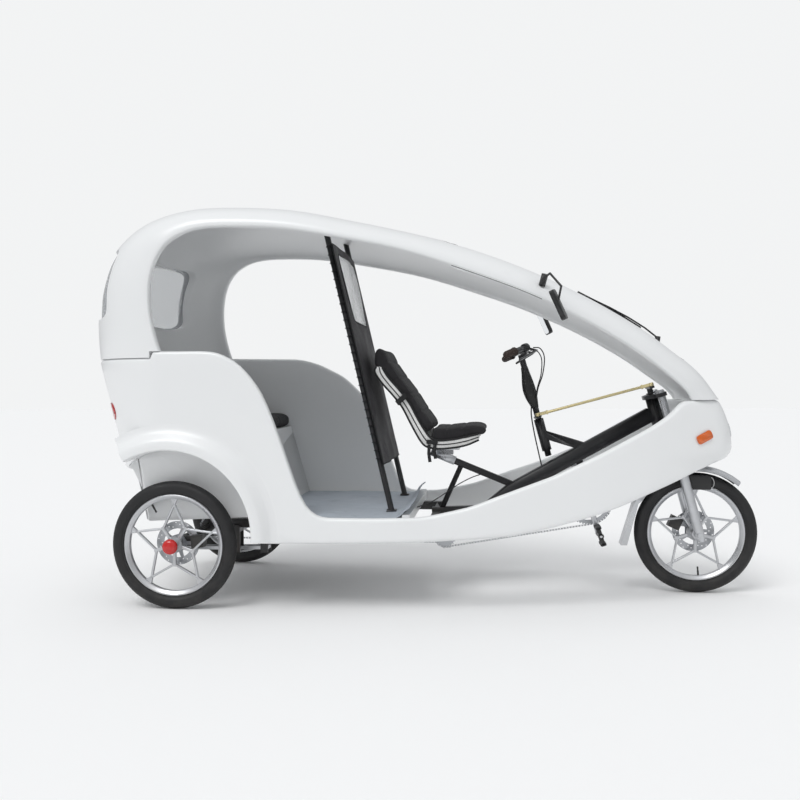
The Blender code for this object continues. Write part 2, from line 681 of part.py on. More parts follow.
def running_gear():
    wheel_pieces("front", WHEELBASE, 0.0)
    wheel_pieces("rear_right", 0.0, -TRACK / 2)
    wheel_pieces("rear_left", 0.0, TRACK / 2)
    front = (WHEELBASE, 0.0, WHEEL_R)
    piece("front_disc", "steel", [turned(disc_profile(0.0235, 0.090, 0.0395, 0.003), front, 28)], origin=front)
    rear = (0.0, -TRACK / 2, WHEEL_R)
    pair("rear_disc", "steel", [turned(disc_profile(0.0235, 0.090, 0.040, 0.003), rear, 28)], origin=rear)
    cap = barrel([(0, 0.029), (0.3, 0.031), (0.75, 0.026), (1, 0.012)], (0, -TRACK / 2 - 0.0463, WHEEL_R),
                 (0, -TRACK / 2 - 0.0735, WHEEL_R), 16)
    pair("hub_cap", "cap_red", [cap], origin=rear)


def caliper(at, disc_side, angle):
    """A two-sided brake body over the edge of a disc, at the given degrees round it."""
    x, y, z = at
    body = block((x + 0.060, y + disc_side - 0.018, z - 0.026), (x + 0.112, y + disc_side + 0.018, z + 0.026))
    slot = block((x + 0.040, y + disc_side - 0.0035, z - 0.05), (x + 0.102, y + disc_side + 0.0035, z + 0.05))
    spin = (x, y, z)
    return turned_round(body, -angle, spin), turned_round(slot, -angle, spin)


def fork_pieces():
    axle = (WHEELBASE, 0.0, WHEEL_R)
    axle_down = (Vector(axle) - HEAD_TOP).dot(STEER_DOWN)
    parts = [rod(at_steer(ROD_DOWN + 0.002), at_steer(0.17), STEERER_R, 12)]
    plate = [(-0.040, -0.024), (-0.040, 0.024), (0.004, 0.099), (0.050, 0.099), (0.050, -0.099), (0.004, -0.099)]
    for low, high in ((-0.004, 0.012), (0.158, 0.178)):
        parts.append(loft([[tuple(at_steer(t, ahead, side)) for ahead, side in plate] for t in (low, high)]))
    for side in (-LEG_SIDE, LEG_SIDE):
        parts.append(rod(at_steer(-0.016, LEG_AHEAD, side), at_steer(0.42, LEG_AHEAD, side), 0.0165, 12))
        parts.append(barrel([(0, 0.019), (0.04, 0.0205), (0.96, 0.0205), (1, 0.015)],
                            at_steer(0.36, LEG_AHEAD, side), at_steer(axle_down + 0.03, LEG_AHEAD, side), 14))
    parts.append(rod((WHEELBASE, -0.10, WHEEL_R), (WHEELBASE, 0.10, WHEEL_R), 0.0108, 12))
    arm = loft([[tuple(at_steer(t, ahead, side)) for ahead, side in
                 ((-0.016, 0.016), (0.016, 0.016), (0.010, ROD_SIDE - 0.010), (-0.010, ROD_SIDE - 0.010))]
                for t in (ROD_DOWN + ROD_END_HALF + GAP, ROD_DOWN + ROD_END_HALF + GAP + 0.008)])
    parts.append(arm)
    parts.append(block((WHEELBASE - 0.102, 0.0578, 0.276), (WHEELBASE - 0.007, 0.0665, 0.312)))
    piece("fork", "silver", parts, origin=tuple(HEAD_TOP))
    body, slot = caliper(axle, 0.0395, 155)
    piece("front_caliper", "frame_black", [body], [slot])
    fender = [(0.268, -0.039), (0.283, -0.033), (0.2905, -0.014), (0.292, 0.0), (0.2905, 0.014), (0.283, 0.033),
              (0.268, 0.039), (0.267, 0.0363), (0.2805, 0.0308), (0.2875, 0.013), (0.289, 0.0), (0.2875, -0.013),
              (0.2805, -0.0308), (0.267, -0.0363)]
    leg_at = at_steer(0.37, LEG_AHEAD)
    lug = block((leg_at.x - 0.012, -0.0541, leg_at.z - 0.012), (leg_at.x + 0.012, -0.0335, leg_at.z + 0.012))
    piece("front_mudguard", "silver", [turned(fender, axle, 14, 50, 149), lug, flipped(lug)])
    outer = [(-0.2500, 0.1496), (-0.2635, 0.128), (-0.320, -0.055), (-0.294, -0.0555), (-0.245, 0.126),
             (-0.2305, 0.1378)]
    inner = [(-0.242, 0.16), (-0.2592, 0.1295), (-0.321, -0.07), (-0.287, -0.07), (-0.237, 0.126), (-0.222, 0.16)]
    flap, room = (slab([(WHEELBASE + x, WHEEL_R + z) for x, z in line], -half, half)
                  for line, half in ((outer, 0.036), (inner, 0.0335)))
    piece("mudguard_flap", "silver", [flap], [room])


def beam_height(x):
    """Height of the main beam's middle line."""
    line = sorted((at[0], at[2]) for at in BEAM_PATH)
    return float(np.interp(x, [at[0] for at in line], [at[1] for at in line]))


def beam_frame():
    beam = tube(BEAM_PATH, box_section(BEAM_WIDE, BEAM_DEEP, 0.008))
    parts = [beam]
    rail_z = (RAIL_TOP + RAIL_BOTTOM) / 2
    rail = tube([(RAIL_BACK, -RAIL_SIDE, rail_z), (1.06, -RAIL_SIDE, rail_z)],
                box_section(0.04, RAIL_TOP - RAIL_BOTTOM))
    parts += [rail, flipped(rail)]
    for x in (0.44, 1.04):
        parts.append(tube([(x, -0.31, rail_z), (x, 0.31, rail_z)], box_section(0.034, 0.034), side=(1, 0, 0)))
    parts.append(block((RAIL_BACK + 0.003, -0.31, 0.3240), (RAIL_BACK + 0.037, 0.31, RAIL_TOP - 0.001)))
    head = barrel([(0, HEAD_R), (1, HEAD_R)], at_steer(0.0135), at_steer(0.1565), 20)
    bore = rod(at_steer(-0.05), at_steer(0.25), STEERER_R + 0.001, 16)
    bb_shell = rod((CRANK_X, -0.034, CRANK_Z), (CRANK_X, 0.034, CRANK_Z), 0.022, 18)
    bb_bore = rod((CRANK_X, -0.1, CRANK_Z), (CRANK_X, 0.1, CRANK_Z), SPINDLE_R + 0.0008, 16)
    parts += [head, bb_shell]
    rear_x, front_x = CRANK_X - 0.25, CRANK_X - 0.035
    parts.append(tube([(rear_x, 0, beam_height(rear_x) - 0.019), (CRANK_X - 0.02, 0, CRANK_Z + 0.002)],
                      round_section(0.016, 10)))
    parts.append(tube([(front_x, 0, beam_height(front_x) - 0.016), (CRANK_X - 0.003, 0, CRANK_Z + 0.015)],
                      round_section(0.016, 10)))
    column_tube = rod(at_column(-0.165), at_column(-0.022), 0.021, 16)
    column_bore = rod(at_column(-0.4), at_column(0.2), COLUMN_R + 0.001, 16)
    parts.append(column_tube)
    parts.append(tube([(1.70, 0, 0.628), (1.518, 0, 0.684)], box_section(0.034, 0.036, 0.005)))
    hanger = slab([(1.05, 0.345), (1.11, 0.355), (1.10, 0.218), (1.06, 0.218)], -0.029, -0.022)
    parts += [hanger, flipped(hanger)]
    jack_bore = rod((JACK_X, -0.1, JACK_Z), (JACK_X, 0.1, JACK_Z), 0.0085, 12)
    for x in SPRING_CLAMPS:
        yoke = block((x - 0.016, 0.2705, 0.290), (x + 0.016, 0.3295, 0.312))
        parts += [yoke, flipped(yoke)]
        for y in (0.2705, 0.3235):
            cheek = block((x - 0.016, y, 0.205), (x + 0.016, y + 0.006, 0.32))
            parts += [cheek, flipped(cheek)]
    piece("main_frame", "frame_black", parts, [bore, bb_bore, column_bore, jack_bore])


def rear_axle_pieces():
    hub_in = TRACK / 2 - 0.0705
    housing = rod((0, -hub_in, WHEEL_R), (0, hub_in, WHEEL_R), 0.022, 16)
    tip = TRACK / 2 + 0.045
    stub = rod((0, -tip, WHEEL_R), (0, tip, WHEEL_R), 0.0108, 12)
    ball = barrel([(0, 0.03), (0.2, 0.055), (0.5, 0.064), (0.8, 0.055), (1, 0.03)], (0, 0.03, WHEEL_R),
                  (0, 0.17, WHEEL_R), 16)
    seat = block((-0.03, -0.323, LEAF_Z + LEAF_THICK / 2 + GAP), (0.03, -0.277, WHEEL_R))
    arm = block((0.0, 0.0583 - TRACK / 2, 0.246), (0.108, 0.0805 - TRACK / 2, 0.284))
    sprocket = plate_disc((0, 0, WHEEL_R), cog_radius(REAR_SPROCKET_R), REAR_CHAIN_SIDE, 24)
    piece("rear_axle", "frame_black", [housing, stub, ball, seat, flipped(seat), sprocket, arm, flipped(arm)])
    leaf = [(-0.045, LEAF_Z), (0.04, LEAF_Z), (0.19, 0.2215), (SPRING_CLAMPS[1] + 0.015, 0.226)]
    spring = tube([(x, -RAIL_SIDE, z) for x, z in leaf], box_section(0.0462, LEAF_THICK))
    pair("leaf_spring", "silver", [spring])
    body, slot = caliper((0, -TRACK / 2, WHEEL_R), 0.040, 6)
    pair("rear_caliper", "frame_black", [body], [slot])


def cog_radius(pitch):
    """A sprocket's outer radius, just inside the chain's flat facets."""
    return (pitch - CHAIN_HALF) * math.cos(math.radians(5.5)) - GAP


def belt(a, ra, b, rb, side, half, thick):
    """A closed chain loop round two circles in the plane y = side."""
    (ax, az), (bx, bz) = a, b
    dx, dz = bx - ax, bz - az
    span = math.hypot(dx, dz)
    line = math.atan2(dz, dx)
    lean = math.acos((ra - rb) / span)
    path = []
    for t in np.linspace(line + lean, line + 2 * math.pi - lean, 20):
        path.append((ax, az, ra, t))
    for t in np.linspace(line - lean, line + lean, 20):
        path.append((bx, bz, rb, t))
    sections = []
    for x, z, r, t in path:
        section = []
        for depth, y in ((0, -half), (thick, -half), (thick, half), (0, half)):
            section.append((x + (r + depth) * math.cos(t), side + y, z + (r + depth) * math.sin(t)))
        sections.append(section)
    return loft(sections, ring=True)


def drive_pieces():
    crank_at = (CRANK_X, 0.0, CRANK_Z)
    reach = Vector((math.cos(CRANK_ANGLE), 0, math.sin(CRANK_ANGLE))) * CRANK_LENGTH
    near = Vector((CRANK_X, -0.077, CRANK_Z))
    far = Vector((CRANK_X, 0.077, CRANK_Z))
    parts = [rod((CRANK_X, -0.085, CRANK_Z), (CRANK_X, 0.085, CRANK_Z), SPINDLE_R, 12)]
    parts.append(plate_disc(crank_at, cog_radius(CHAINRING_R), CHAIN_SIDE, 32))
    for middle, way in ((near, 1), (far, -1)):
        end = middle + reach * way
        parts.append(tube([middle - reach * 0.08 * way, end + reach * 0.06 * way], box_section(0.013, 0.026, 0.004)))
        side = -1 if way == 1 else 1
        parts.append(rod(tuple(end), (end.x, side * 0.178, end.z), 0.0055, 10))
    piece("crankset", "silver", parts, origin=crank_at)
    for name, middle, way, side in (("pedal_right", near, 1, -1), ("pedal_left", far, -1, 1)):
        end = middle + reach * way
        low, high = sorted((side * 0.092, side * 0.176))
        plate = loft([[(end.x + u, y, end.z + v) for u, v in
                       ((-0.042, -0.008), (-0.036, -0.012), (0.036, -0.012), (0.042, -0.008), (0.042, 0.008),
                        (0.036, 0.012), (-0.036, 0.012), (-0.042, 0.008))] for y in (low, high)])
        plate = turned_round(plate, -math.degrees(CRANK_ANGLE), (end.x, 0, end.z))
        bore = rod((end.x, low - 0.01, end.z), (end.x, high + 0.01, end.z), 0.006, 12)
        piece(name, "plastic_black", [plate], [bore], origin=(end.x, (low + high) / 2, end.z))
    shaft = rod((JACK_X, -0.062, JACK_Z), (JACK_X, 0.042, JACK_Z), 0.0078, 12)
    cogs = [plate_disc((JACK_X, 0, JACK_Z), cog_radius(radius), y, 20)
            for radius, y in ((JACK_R, CHAIN_SIDE), (JACK_REAR_R, REAR_CHAIN_SIDE))]
    piece("jackshaft", "steel", [shaft] + cogs)
    piece("front_chain", "steel",
          [belt((JACK_X, JACK_Z), JACK_R - CHAIN_HALF, (CRANK_X, CRANK_Z), CHAINRING_R - CHAIN_HALF,
                CHAIN_SIDE, 0.0035, 0.008)])
    piece("rear_chain", "steel",
          [belt((0, WHEEL_R), REAR_SPROCKET_R - CHAIN_HALF, (JACK_X, JACK_Z), JACK_REAR_R - CHAIN_HALF,
                REAR_CHAIN_SIDE, 0.0035, 0.008)])


def cockpit_pieces():
    column_top = 0.272
    origin = tuple(at_column(0.0))
    parts = [rod(at_column(-0.19), at_column(column_top), COLUMN_R, 14)]
    arm = loft([[tuple(at_column(t, ahead, side)) for ahead, side in
                 ((-0.018, 0.018), (0.018, 0.018), (0.010, ROD_SIDE - 0.010), (-0.010, ROD_SIDE - 0.010))]
                for t in (-ROD_END_HALF - GAP - 0.008, -ROD_END_HALF - GAP)])
    parts.append(arm)
    half = [at_column(column_top - 0.012), at_column(column_top + 0.012, 0.028, -0.06),
            at_column(column_top + 0.020, 0.014, -0.17), at_column(column_top + 0.008, -0.068, -0.30)]
    curve = [tuple(p) for p in smooth(half, 9)]
    bar = tube(curve, round_section(0.011, 10), side=(0, 0, 1))
    parts += [bar, flipped(bar)]
    outer = Vector(curve[-1])
    run = (outer - Vector(curve[-3])).normalized()
    root = Vector(curve[5])
    lever = tube([tuple(root + Vector((0.012, 0.0, -0.002))), tuple(root + Vector((0.046, -0.004, -0.012))),
                  tuple(outer + Vector((0.055, 0.02, -0.02)))], box_section(0.008, 0.010))
    clamp = rod(tuple(root - run * 0.012), tuple(root + run * 0.012), 0.018, 12)
    parts += [lever, flipped(lever), clamp, flipped(clamp)]
    piece("handlebar", "frame_black", parts, origin=origin)
    inner = outer - run * 0.072
    grip = barrel([(0, 0.0165), (0.08, 0.019), (0.16, 0.0165), (0.9, 0.0155), (1, 0.013)], tuple(inner),
                  tuple(outer + run * 0.006), 12)
    pair("grip", "grip_rubber", [grip], [tube(curve, round_section(0.0116, 10), side=(0, 0, 1))])
    rod_start, rod_end = at_column(0.0, 0.0, ROD_SIDE), at_steer(ROD_DOWN, 0.0, ROD_SIDE)
    ends = [rod(rod_start, rod_end, 0.006, 10)]
    for at in (rod_start, rod_end):
        ends.append(barrel([(0, 0.010), (1, 0.010)], at - STEER_DOWN * ROD_END_HALF, at + STEER_DOWN * ROD_END_HALF, 12))
    piece("steering_rod", "rod_zinc", ends, origin=tuple(at_column(0.0, 0.0, ROD_SIDE)))


def roof_line(x, above):
    """A place over the roof's middle line."""
    rows = smooth(ROOF_ROWS, 200)
    ahead = rows[rows[:, 0] > 0.3]
    return x, 0.0, float(np.interp(x, ahead[:, 0], ahead[:, 1])) + above


def outside_pieces():
    base = rod((1.488, -0.352, 1.30), (1.500, -0.366, 1.345), 0.014, 10)
    arm = tube([(1.497, -0.362, 1.332), (1.516, -0.425, 1.340), (1.556, -0.468, 1.285), (1.545, -0.474, 1.232)],
               round_section(0.0045, 8), side=(1, 0, 0))
    head = slab(rounded([(-0.036, -0.062), (0.036, -0.062), (0.036, 0.062), (-0.036, 0.062)], 0.018), -0.009, 0.009,
                "x")
    head = turned_round(turned_round(head, -14, (0, 0, 0), (0, 0, 1)), -24, (0, 0, 0))
    head = moved(head, (1.545, -0.474, 1.212))
    pair("mirror", "plastic_black", [base, arm, head], [roof_skin(-0.0006, 0.030)])
    spots = [roof_line(x, up) for x, up in ((2.005, 0.016), (1.95, 0.019), (1.88, 0.017), (1.80, 0.012), (1.70, 0.006))]
    blade = [roof_line(x, 0.002) for x in (1.93, 1.84, 1.75, 1.66)]
    piece("wiper", "plastic_black",
          [tube(spots, box_section(0.010, 0.006)), tube(blade, box_section(0.006, 0.016)),
           rod(roof_line(2.005, 0.024), roof_line(1.999, -0.02), 0.012, 12)], [roof_skin(0.0074, 0.030)])
    wall_room = [lower_body_ring(2 * GAP), body_plug(WALL / 2)]
    lamp = turned_round(slab(rounded([(-0.036, -0.019), (0.036, -0.019), (0.036, 0.019), (-0.036, 0.019)], 0.012),
                             -0.30, -0.02), -25, (0, 0, 0))
    pair("side_marker", "marker_orange", [moved(lamp, (2.158, 0, 0.684))], wall_room,
         keep=body_plug(-0.006, 0.605, 0.755))
    lens = rod((-0.60, -0.33, 0.80), (-0.20, -0.33, 0.80), 0.036, 16)
    pair("tail_lamp", "lamp_red", [lens], wall_room, keep=body_plug(-0.0045, 0.71, 0.89))
    lens = rod((2.0, 0, 0.705), (2.5, 0, 0.705), 0.034, 16)
    piece("headlamp", "lamp_clear", [lens], wall_room, keep=body_plug(-0.0045, 0.645, 0.785))


# Rider seat outlines seen from the side. Columns: x, z.
SEAT_SHELL = [
    (0.796, 0.985), (0.790, 0.962), (0.820, 0.915), (0.862, 0.868), (0.906, 0.812), (0.946, 0.735), (0.984, 0.668),
    (1.012, 0.642), (1.060, 0.634), (1.120, 0.638), (1.180, 0.650), (1.232, 0.672),
    (1.228, 0.696), (1.175, 0.684), (1.118, 0.673), (1.065, 0.669), (1.034, 0.676), (1.012, 0.698), (0.975, 0.757),
    (0.935, 0.832), (0.888, 0.892), (0.846, 0.940), (0.822, 0.980),
]
SEAT_BACK_PAD = [
    (1.0064, 0.7079), (0.9754, 0.7573), (0.9354, 0.8323), (0.8884, 0.8923), (0.8464, 0.9403), (0.8224, 0.9803),
    (0.794, 0.990), (0.786, 1.020), (0.790, 1.050), (0.806, 1.062), (0.826, 1.046), (0.852, 0.998), (0.895, 0.937),
    (0.942, 0.874), (0.985, 0.805), (1.030, 0.738), (1.026, 0.716),
]
SEAT_PAN_PAD = [
    (1.0304, 0.6804), (1.0345, 0.6764), (1.0653, 0.6694), (1.118, 0.6734), (1.175, 0.6844), (1.228, 0.6964),
    (1.252, 0.698),
    (1.262, 0.710), (1.254, 0.724), (1.215, 0.729), (1.150, 0.724), (1.085, 0.718), (1.044, 0.719), (1.034, 0.710),
]


def rider_seat_pieces():
    seat_half = 0.20
    piece("rider_seat_shell", "body_white", [slab(SEAT_SHELL, -seat_half, seat_half)])
    piece("rider_seat_back", "cushion_black", [slab(SEAT_BACK_PAD, -seat_half, seat_half)])
    piece("rider_seat_pan", "cushion_black", [slab(SEAT_PAN_PAD, -seat_half, seat_half)])
    bar = [(1.0158, 0, 0.6096), (1.372, 0, 0.464)]
    run = (Vector(bar[1]) - Vector(bar[0])).normalized()
    sleeve_end = tuple(Vector(bar[0]) + run * 0.115)
    sleeve = tube([bar[0], sleeve_end], box_section(SEAT_BAR + 0.008, SEAT_BAR + 0.008, 0.003))
    socket = tube([tuple(Vector(bar[0]) - run * 0.01), tuple(Vector(sleeve_end) + run * 0.01)],
                  box_section(SEAT_BAR + 2 * GAP, SEAT_BAR + 2 * GAP, 0.003))
    post = block((1.045, -0.045, 0.598), (1.115, 0.045, 0.640))
    plate = block((1.035, -0.10, 0.622), (1.145, 0.10, 0.640))
    shell_room = slab([(x, z - GAP) for x, z in SEAT_SHELL[6:12]] + [(1.232, 0.75), (0.984, 0.75)], -0.3, 0.3)
    piece("rider_seat_frame", "silver", [sleeve, post, plate], [socket, shell_room])
    beam = tube(BEAM_PATH, box_section(BEAM_WIDE + 2 * GAP, BEAM_DEEP + 2 * GAP, 0.008))
    strut = tube([(1.150, 0, 0.548), (1.058, 0, 0.3440)], round_section(0.012, 10))
    rail = tube([bar[0], (1.385, 0, 0.4587)], box_section(SEAT_BAR, SEAT_BAR, 0.003))
    cross = tube([(1.04, -0.31, 0.3266), (1.04, 0.31, 0.3266)], box_section(0.034 + 2 * GAP, 0.034 + 2 * GAP), side=(1, 0, 0))
    piece("rider_seat_rail", "frame_black", [rail, strut], [beam, cross])


shell_pieces()
cabin_pieces()
divider_pieces()
running_gear()
fork_pieces()
beam_frame()
rear_axle_pieces()
drive_pieces()
cockpit_pieces()
rider_seat_pieces()
outside_pieces()
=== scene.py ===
import json
import math

import bmesh
import bpy
import numpy as np
from mathutils import Matrix, Vector

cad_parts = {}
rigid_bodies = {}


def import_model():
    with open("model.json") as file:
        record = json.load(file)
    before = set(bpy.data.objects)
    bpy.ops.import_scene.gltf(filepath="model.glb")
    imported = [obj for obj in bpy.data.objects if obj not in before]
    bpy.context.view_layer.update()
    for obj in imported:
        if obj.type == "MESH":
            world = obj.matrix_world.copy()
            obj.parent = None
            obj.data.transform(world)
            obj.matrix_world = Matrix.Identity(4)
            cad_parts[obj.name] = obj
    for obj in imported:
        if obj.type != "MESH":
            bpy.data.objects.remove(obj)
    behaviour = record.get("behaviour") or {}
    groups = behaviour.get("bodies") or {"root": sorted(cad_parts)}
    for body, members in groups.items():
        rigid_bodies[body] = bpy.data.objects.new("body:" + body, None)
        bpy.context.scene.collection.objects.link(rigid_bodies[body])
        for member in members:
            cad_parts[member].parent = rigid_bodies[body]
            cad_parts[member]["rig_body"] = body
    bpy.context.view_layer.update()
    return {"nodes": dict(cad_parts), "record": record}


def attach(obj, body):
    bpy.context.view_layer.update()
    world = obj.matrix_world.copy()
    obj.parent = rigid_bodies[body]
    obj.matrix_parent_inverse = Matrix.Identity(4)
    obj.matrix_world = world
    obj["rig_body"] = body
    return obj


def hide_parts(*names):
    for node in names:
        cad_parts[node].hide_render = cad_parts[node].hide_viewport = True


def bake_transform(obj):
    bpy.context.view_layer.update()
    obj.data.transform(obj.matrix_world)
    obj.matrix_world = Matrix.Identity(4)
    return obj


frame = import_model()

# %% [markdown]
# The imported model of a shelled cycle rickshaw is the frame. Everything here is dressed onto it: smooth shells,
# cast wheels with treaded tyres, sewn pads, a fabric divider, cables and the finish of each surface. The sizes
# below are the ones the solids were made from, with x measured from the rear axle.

AXLE_BACK = 0.978
WHEELBASE, TRACK, WHEEL_R = 2.162, 0.941, 0.26
WALL = 0.035
SEAM_Z = 1.0205
RAKE = math.radians(15.0)
HEAD_TOP = Vector((WHEELBASE - 0.185, 0.0, 0.856))
COLUMN_AT_ROD = Vector((1.485, 0.0, 0.774))
STEER_DOWN = Vector((math.sin(RAKE), 0.0, -math.cos(RAKE)))
STEER_AHEAD = Vector((math.cos(RAKE), 0.0, math.sin(RAKE)))
SIDE = Vector((0.0, 1.0, 0.0))


def at_steer(down, ahead=0.0, side=0.0):
    return HEAD_TOP + STEER_DOWN * down + STEER_AHEAD * ahead + SIDE * side


def at_column(up, ahead=0.0, side=0.0):
    return COLUMN_AT_ROD - STEER_DOWN * up + STEER_AHEAD * ahead + SIDE * side


def to_world(point):
    return Vector((point[0] - AXLE_BACK, point[1], point[2]))


# %% [markdown]
# Several finishes share the same small effects, so each effect is a node group with its own inputs: a fine
# moulded grain, road dust that gathers low down, rubbed patches, and a woven cloth. A group only gives out
# values that change over the surface. The shader and its plain numbers stay in each material, where the export
# can read them.

# %% Shared shader effects
def new_group(name, inputs, outputs):
    tree = bpy.data.node_groups.new(name, "ShaderNodeTree")
    for label, kind, value in inputs:
        socket = tree.interface.new_socket(name=label, in_out="INPUT", socket_type=kind)
        socket.default_value = value
    for label, kind in outputs:
        tree.interface.new_socket(name=label, in_out="OUTPUT", socket_type=kind)
    start, end = tree.nodes.new("NodeGroupInput"), tree.nodes.new("NodeGroupOutput")
    return tree, start, end


def node(tree, kind, links=(), **settings):
    made = tree.nodes.new(kind)
    for key, value in settings.items():
        setattr(made, key, value)
    for socket, source in links:
        if isinstance(source, bpy.types.NodeSocket):
            tree.links.new(source, made.inputs[socket])
        else:
            made.inputs[socket].default_value = source
    return made


def maths(tree, operation, a, b, clamp=False):
    return node(tree, "ShaderNodeMath", [(0, a), (1, b)], operation=operation, use_clamp=clamp).outputs[0]


def noise(tree, where, scale, detail, *more):
    links = [("Vector", where), ("Scale", scale), ("Detail", detail), *more]
    return node(tree, "ShaderNodeTexNoise", links).outputs[0]


def remap(tree, value, from_low, from_high, to_low=0.0, to_high=1.0):
    return node(tree, "ShaderNodeMapRange", [("Value", value), ("From Min", from_low), ("From Max", from_high),
                                             ("To Min", to_low), ("To Max", to_high)]).outputs[0]


FLOAT = "NodeSocketFloat"


def grain_group():
    """Fine noise in object space: a height for bump and a roughness that wanders."""
    tree, start, end = new_group(
        "fine_grain",
        [("Scale", FLOAT, 400.0), ("Smooth", FLOAT, 0.3), ("Rough", FLOAT, 0.4)],
        [("Height", FLOAT), ("Roughness", FLOAT)])
    where = node(tree, "ShaderNodeTexCoord").outputs["Object"]
    fine = noise(tree, where, start.outputs["Scale"], 3.0)
    broad = noise(tree, where, 7.0, 4.0)
    spread = remap(tree, broad, 0.35, 0.65, start.outputs["Smooth"], start.outputs["Rough"])
    tree.links.new(fine, end.inputs["Height"])
    tree.links.new(spread, end.inputs["Roughness"])
    return tree


def dust_group():
    """A mask of road dust: most near the ground, broken up by noise."""
    tree, start, end = new_group(
        "road_dust", [("Reach", FLOAT, 0.5), ("Amount", FLOAT, 0.4)], [("Mask", FLOAT)])
    where = node(tree, "ShaderNodeTexCoord").outputs["Object"]
    height = node(tree, "ShaderNodeSeparateXYZ", [(0, where)]).outputs["Z"]
    low = remap(tree, height, 0.05, start.outputs["Reach"], 1.0, 0.0)
    patch = remap(tree, noise(tree, where, 16.0, 6.0, ("Roughness", 0.65)), 0.38, 0.7)
    mask = maths(tree, "MULTIPLY", maths(tree, "MULTIPLY", low, patch), start.outputs["Amount"], True)
    tree.links.new(mask, end.inputs["Mask"])
    return tree


def rub_group():
    """Small rubbed streaks and flecks, for bare metal and handled plastic."""
    tree, start, end = new_group("rubbed", [("Scale", FLOAT, 30.0), ("Amount", FLOAT, 0.5)], [("Mask", FLOAT)])
    where = node(tree, "ShaderNodeTexCoord").outputs["Object"]
    streak = noise(tree, where, start.outputs["Scale"], 8.0, ("Roughness", 0.72), ("Distortion", 0.6))
    tree.links.new(remap(tree, streak, 0.55, 0.75, 0.0, start.outputs["Amount"]), end.inputs["Mask"])
    return tree


def weave_group():
    """Threads across all three object directions, with a height and a shade."""
    tree, start, end = new_group(
        "woven_cloth", [("Threads", FLOAT, 500.0), ("Fuzz", FLOAT, 0.3)], [("Height", FLOAT), ("Shade", FLOAT)])
    where = node(tree, "ShaderNodeTexCoord").outputs["Object"]
    warp = node(tree, "ShaderNodeTexNoise", [("Vector", where), ("Scale", 40.0), ("Detail", 2.0)])
    bent = node(tree, "ShaderNodeVectorMath", [(0, warp.outputs["Color"]), (1, (0.004, 0.004, 0.004))],
                operation="MULTIPLY")
    place = node(tree, "ShaderNodeVectorMath", [(0, where), (1, bent.outputs[0])], operation="ADD").outputs[0]
    waves = []
    for direction in ("X", "Y", "Z"):
        wave = node(tree, "ShaderNodeTexWave", [("Vector", place), ("Scale", start.outputs["Threads"])],
                    wave_type="BANDS", bands_direction=direction)
        waves.append(wave.outputs["Fac"])
    weave = maths(tree, "MULTIPLY", maths(tree, "ADD", maths(tree, "ADD", waves[0], waves[1]), waves[2]), 0.333)
    fuzz = noise(tree, where, 900.0, 2.0)
    height = maths(tree, "ADD", weave, maths(tree, "MULTIPLY", fuzz, start.outputs["Fuzz"]))
    broad = noise(tree, where, 9.0, 5.0)
    shade = maths(tree, "ADD", maths(tree, "MULTIPLY", weave, 0.5), maths(tree, "MULTIPLY", broad, 0.6))
    tree.links.new(height, end.inputs["Height"])
    tree.links.new(shade, end.inputs["Shade"])
    return tree


GRAIN, DUST, RUB, WEAVE = grain_group(), dust_group(), rub_group(), weave_group()
print("shared effects:", len(bpy.data.node_groups))

# %% [markdown]
# One function starts every finish: a Principled shader with its plain numbers on its own sockets, a base colour
# that dust and rubbed patches change, and a bump whose height comes from the grain or the weave. Each finish on
# the vehicle then only names what makes it different.

# %% A finish from its colour and effects
DUST_COLOUR = (0.42, 0.37, 0.31, 1.0)
THREAD_DARK, THREAD_PALE = 0.55, 1.35


def effect(tree, group, **values):
    """A shared effect set to plain numbers. Gives its outputs."""
    made = node(tree, "ShaderNodeGroup", node_tree=group)
    for label, value in values.items():
        made.inputs[label].default_value = value
    return made.outputs


def blended(tree, share, low, high):
    return node(tree, "ShaderNodeMix", [(0, share), (6, low), (7, high)], data_type="RGBA").outputs[2]


def finish(name, colour, smooth_to, rough_to, metallic=0.0, grain=400.0, bump=0.02, depth=0.0005, dust=0.0,
           dust_reach=0.5, second=None, second_scale=30.0, second_amount=0.5, weave=0.0, fuzz=0.3, **plain):
    """A material. plain holds the shader's other sockets, set as plain numbers."""
    made = bpy.data.materials.new(name)
    made.use_nodes = True
    tree = made.node_tree
    shader = tree.nodes["Principled BSDF"]
    shader.inputs["Metallic"].default_value = metallic
    for key, value in plain.items():
        shader.inputs[key.replace("_", " ").title().replace("Ior", "IOR")].default_value = value
    grains = effect(tree, GRAIN, Scale=grain, Smooth=smooth_to, Rough=rough_to)
    tree.links.new(grains["Roughness"], shader.inputs["Roughness"])
    height = grains["Height"]
    shade = (*colour, 1.0)
    if weave:
        cloth = effect(tree, WEAVE, Threads=weave, Fuzz=fuzz)
        height = cloth["Height"]
        dark, pale = [tuple(c * f for c in colour) + (1.0,) for f in (THREAD_DARK, THREAD_PALE)]
        shade = blended(tree, cloth["Shade"], dark, pale)
    if second:
        rubs = effect(tree, RUB, Scale=second_scale, Amount=second_amount)
        shade = blended(tree, rubs["Mask"], shade, (*second, 1.0))
    if dust:
        dusts = effect(tree, DUST, Reach=dust_reach, Amount=dust)
        shade = blended(tree, dusts["Mask"], shade, DUST_COLOUR)
    if isinstance(shade, tuple):
        shader.inputs["Base Color"].default_value = shade
    else:
        tree.links.new(shade, shader.inputs["Base Color"])
    bumps = node(tree, "ShaderNodeBump", [("Strength", bump), ("Distance", depth), ("Height", height)])
    tree.links.new(bumps.outputs["Normal"], shader.inputs["Normal"])
    return made


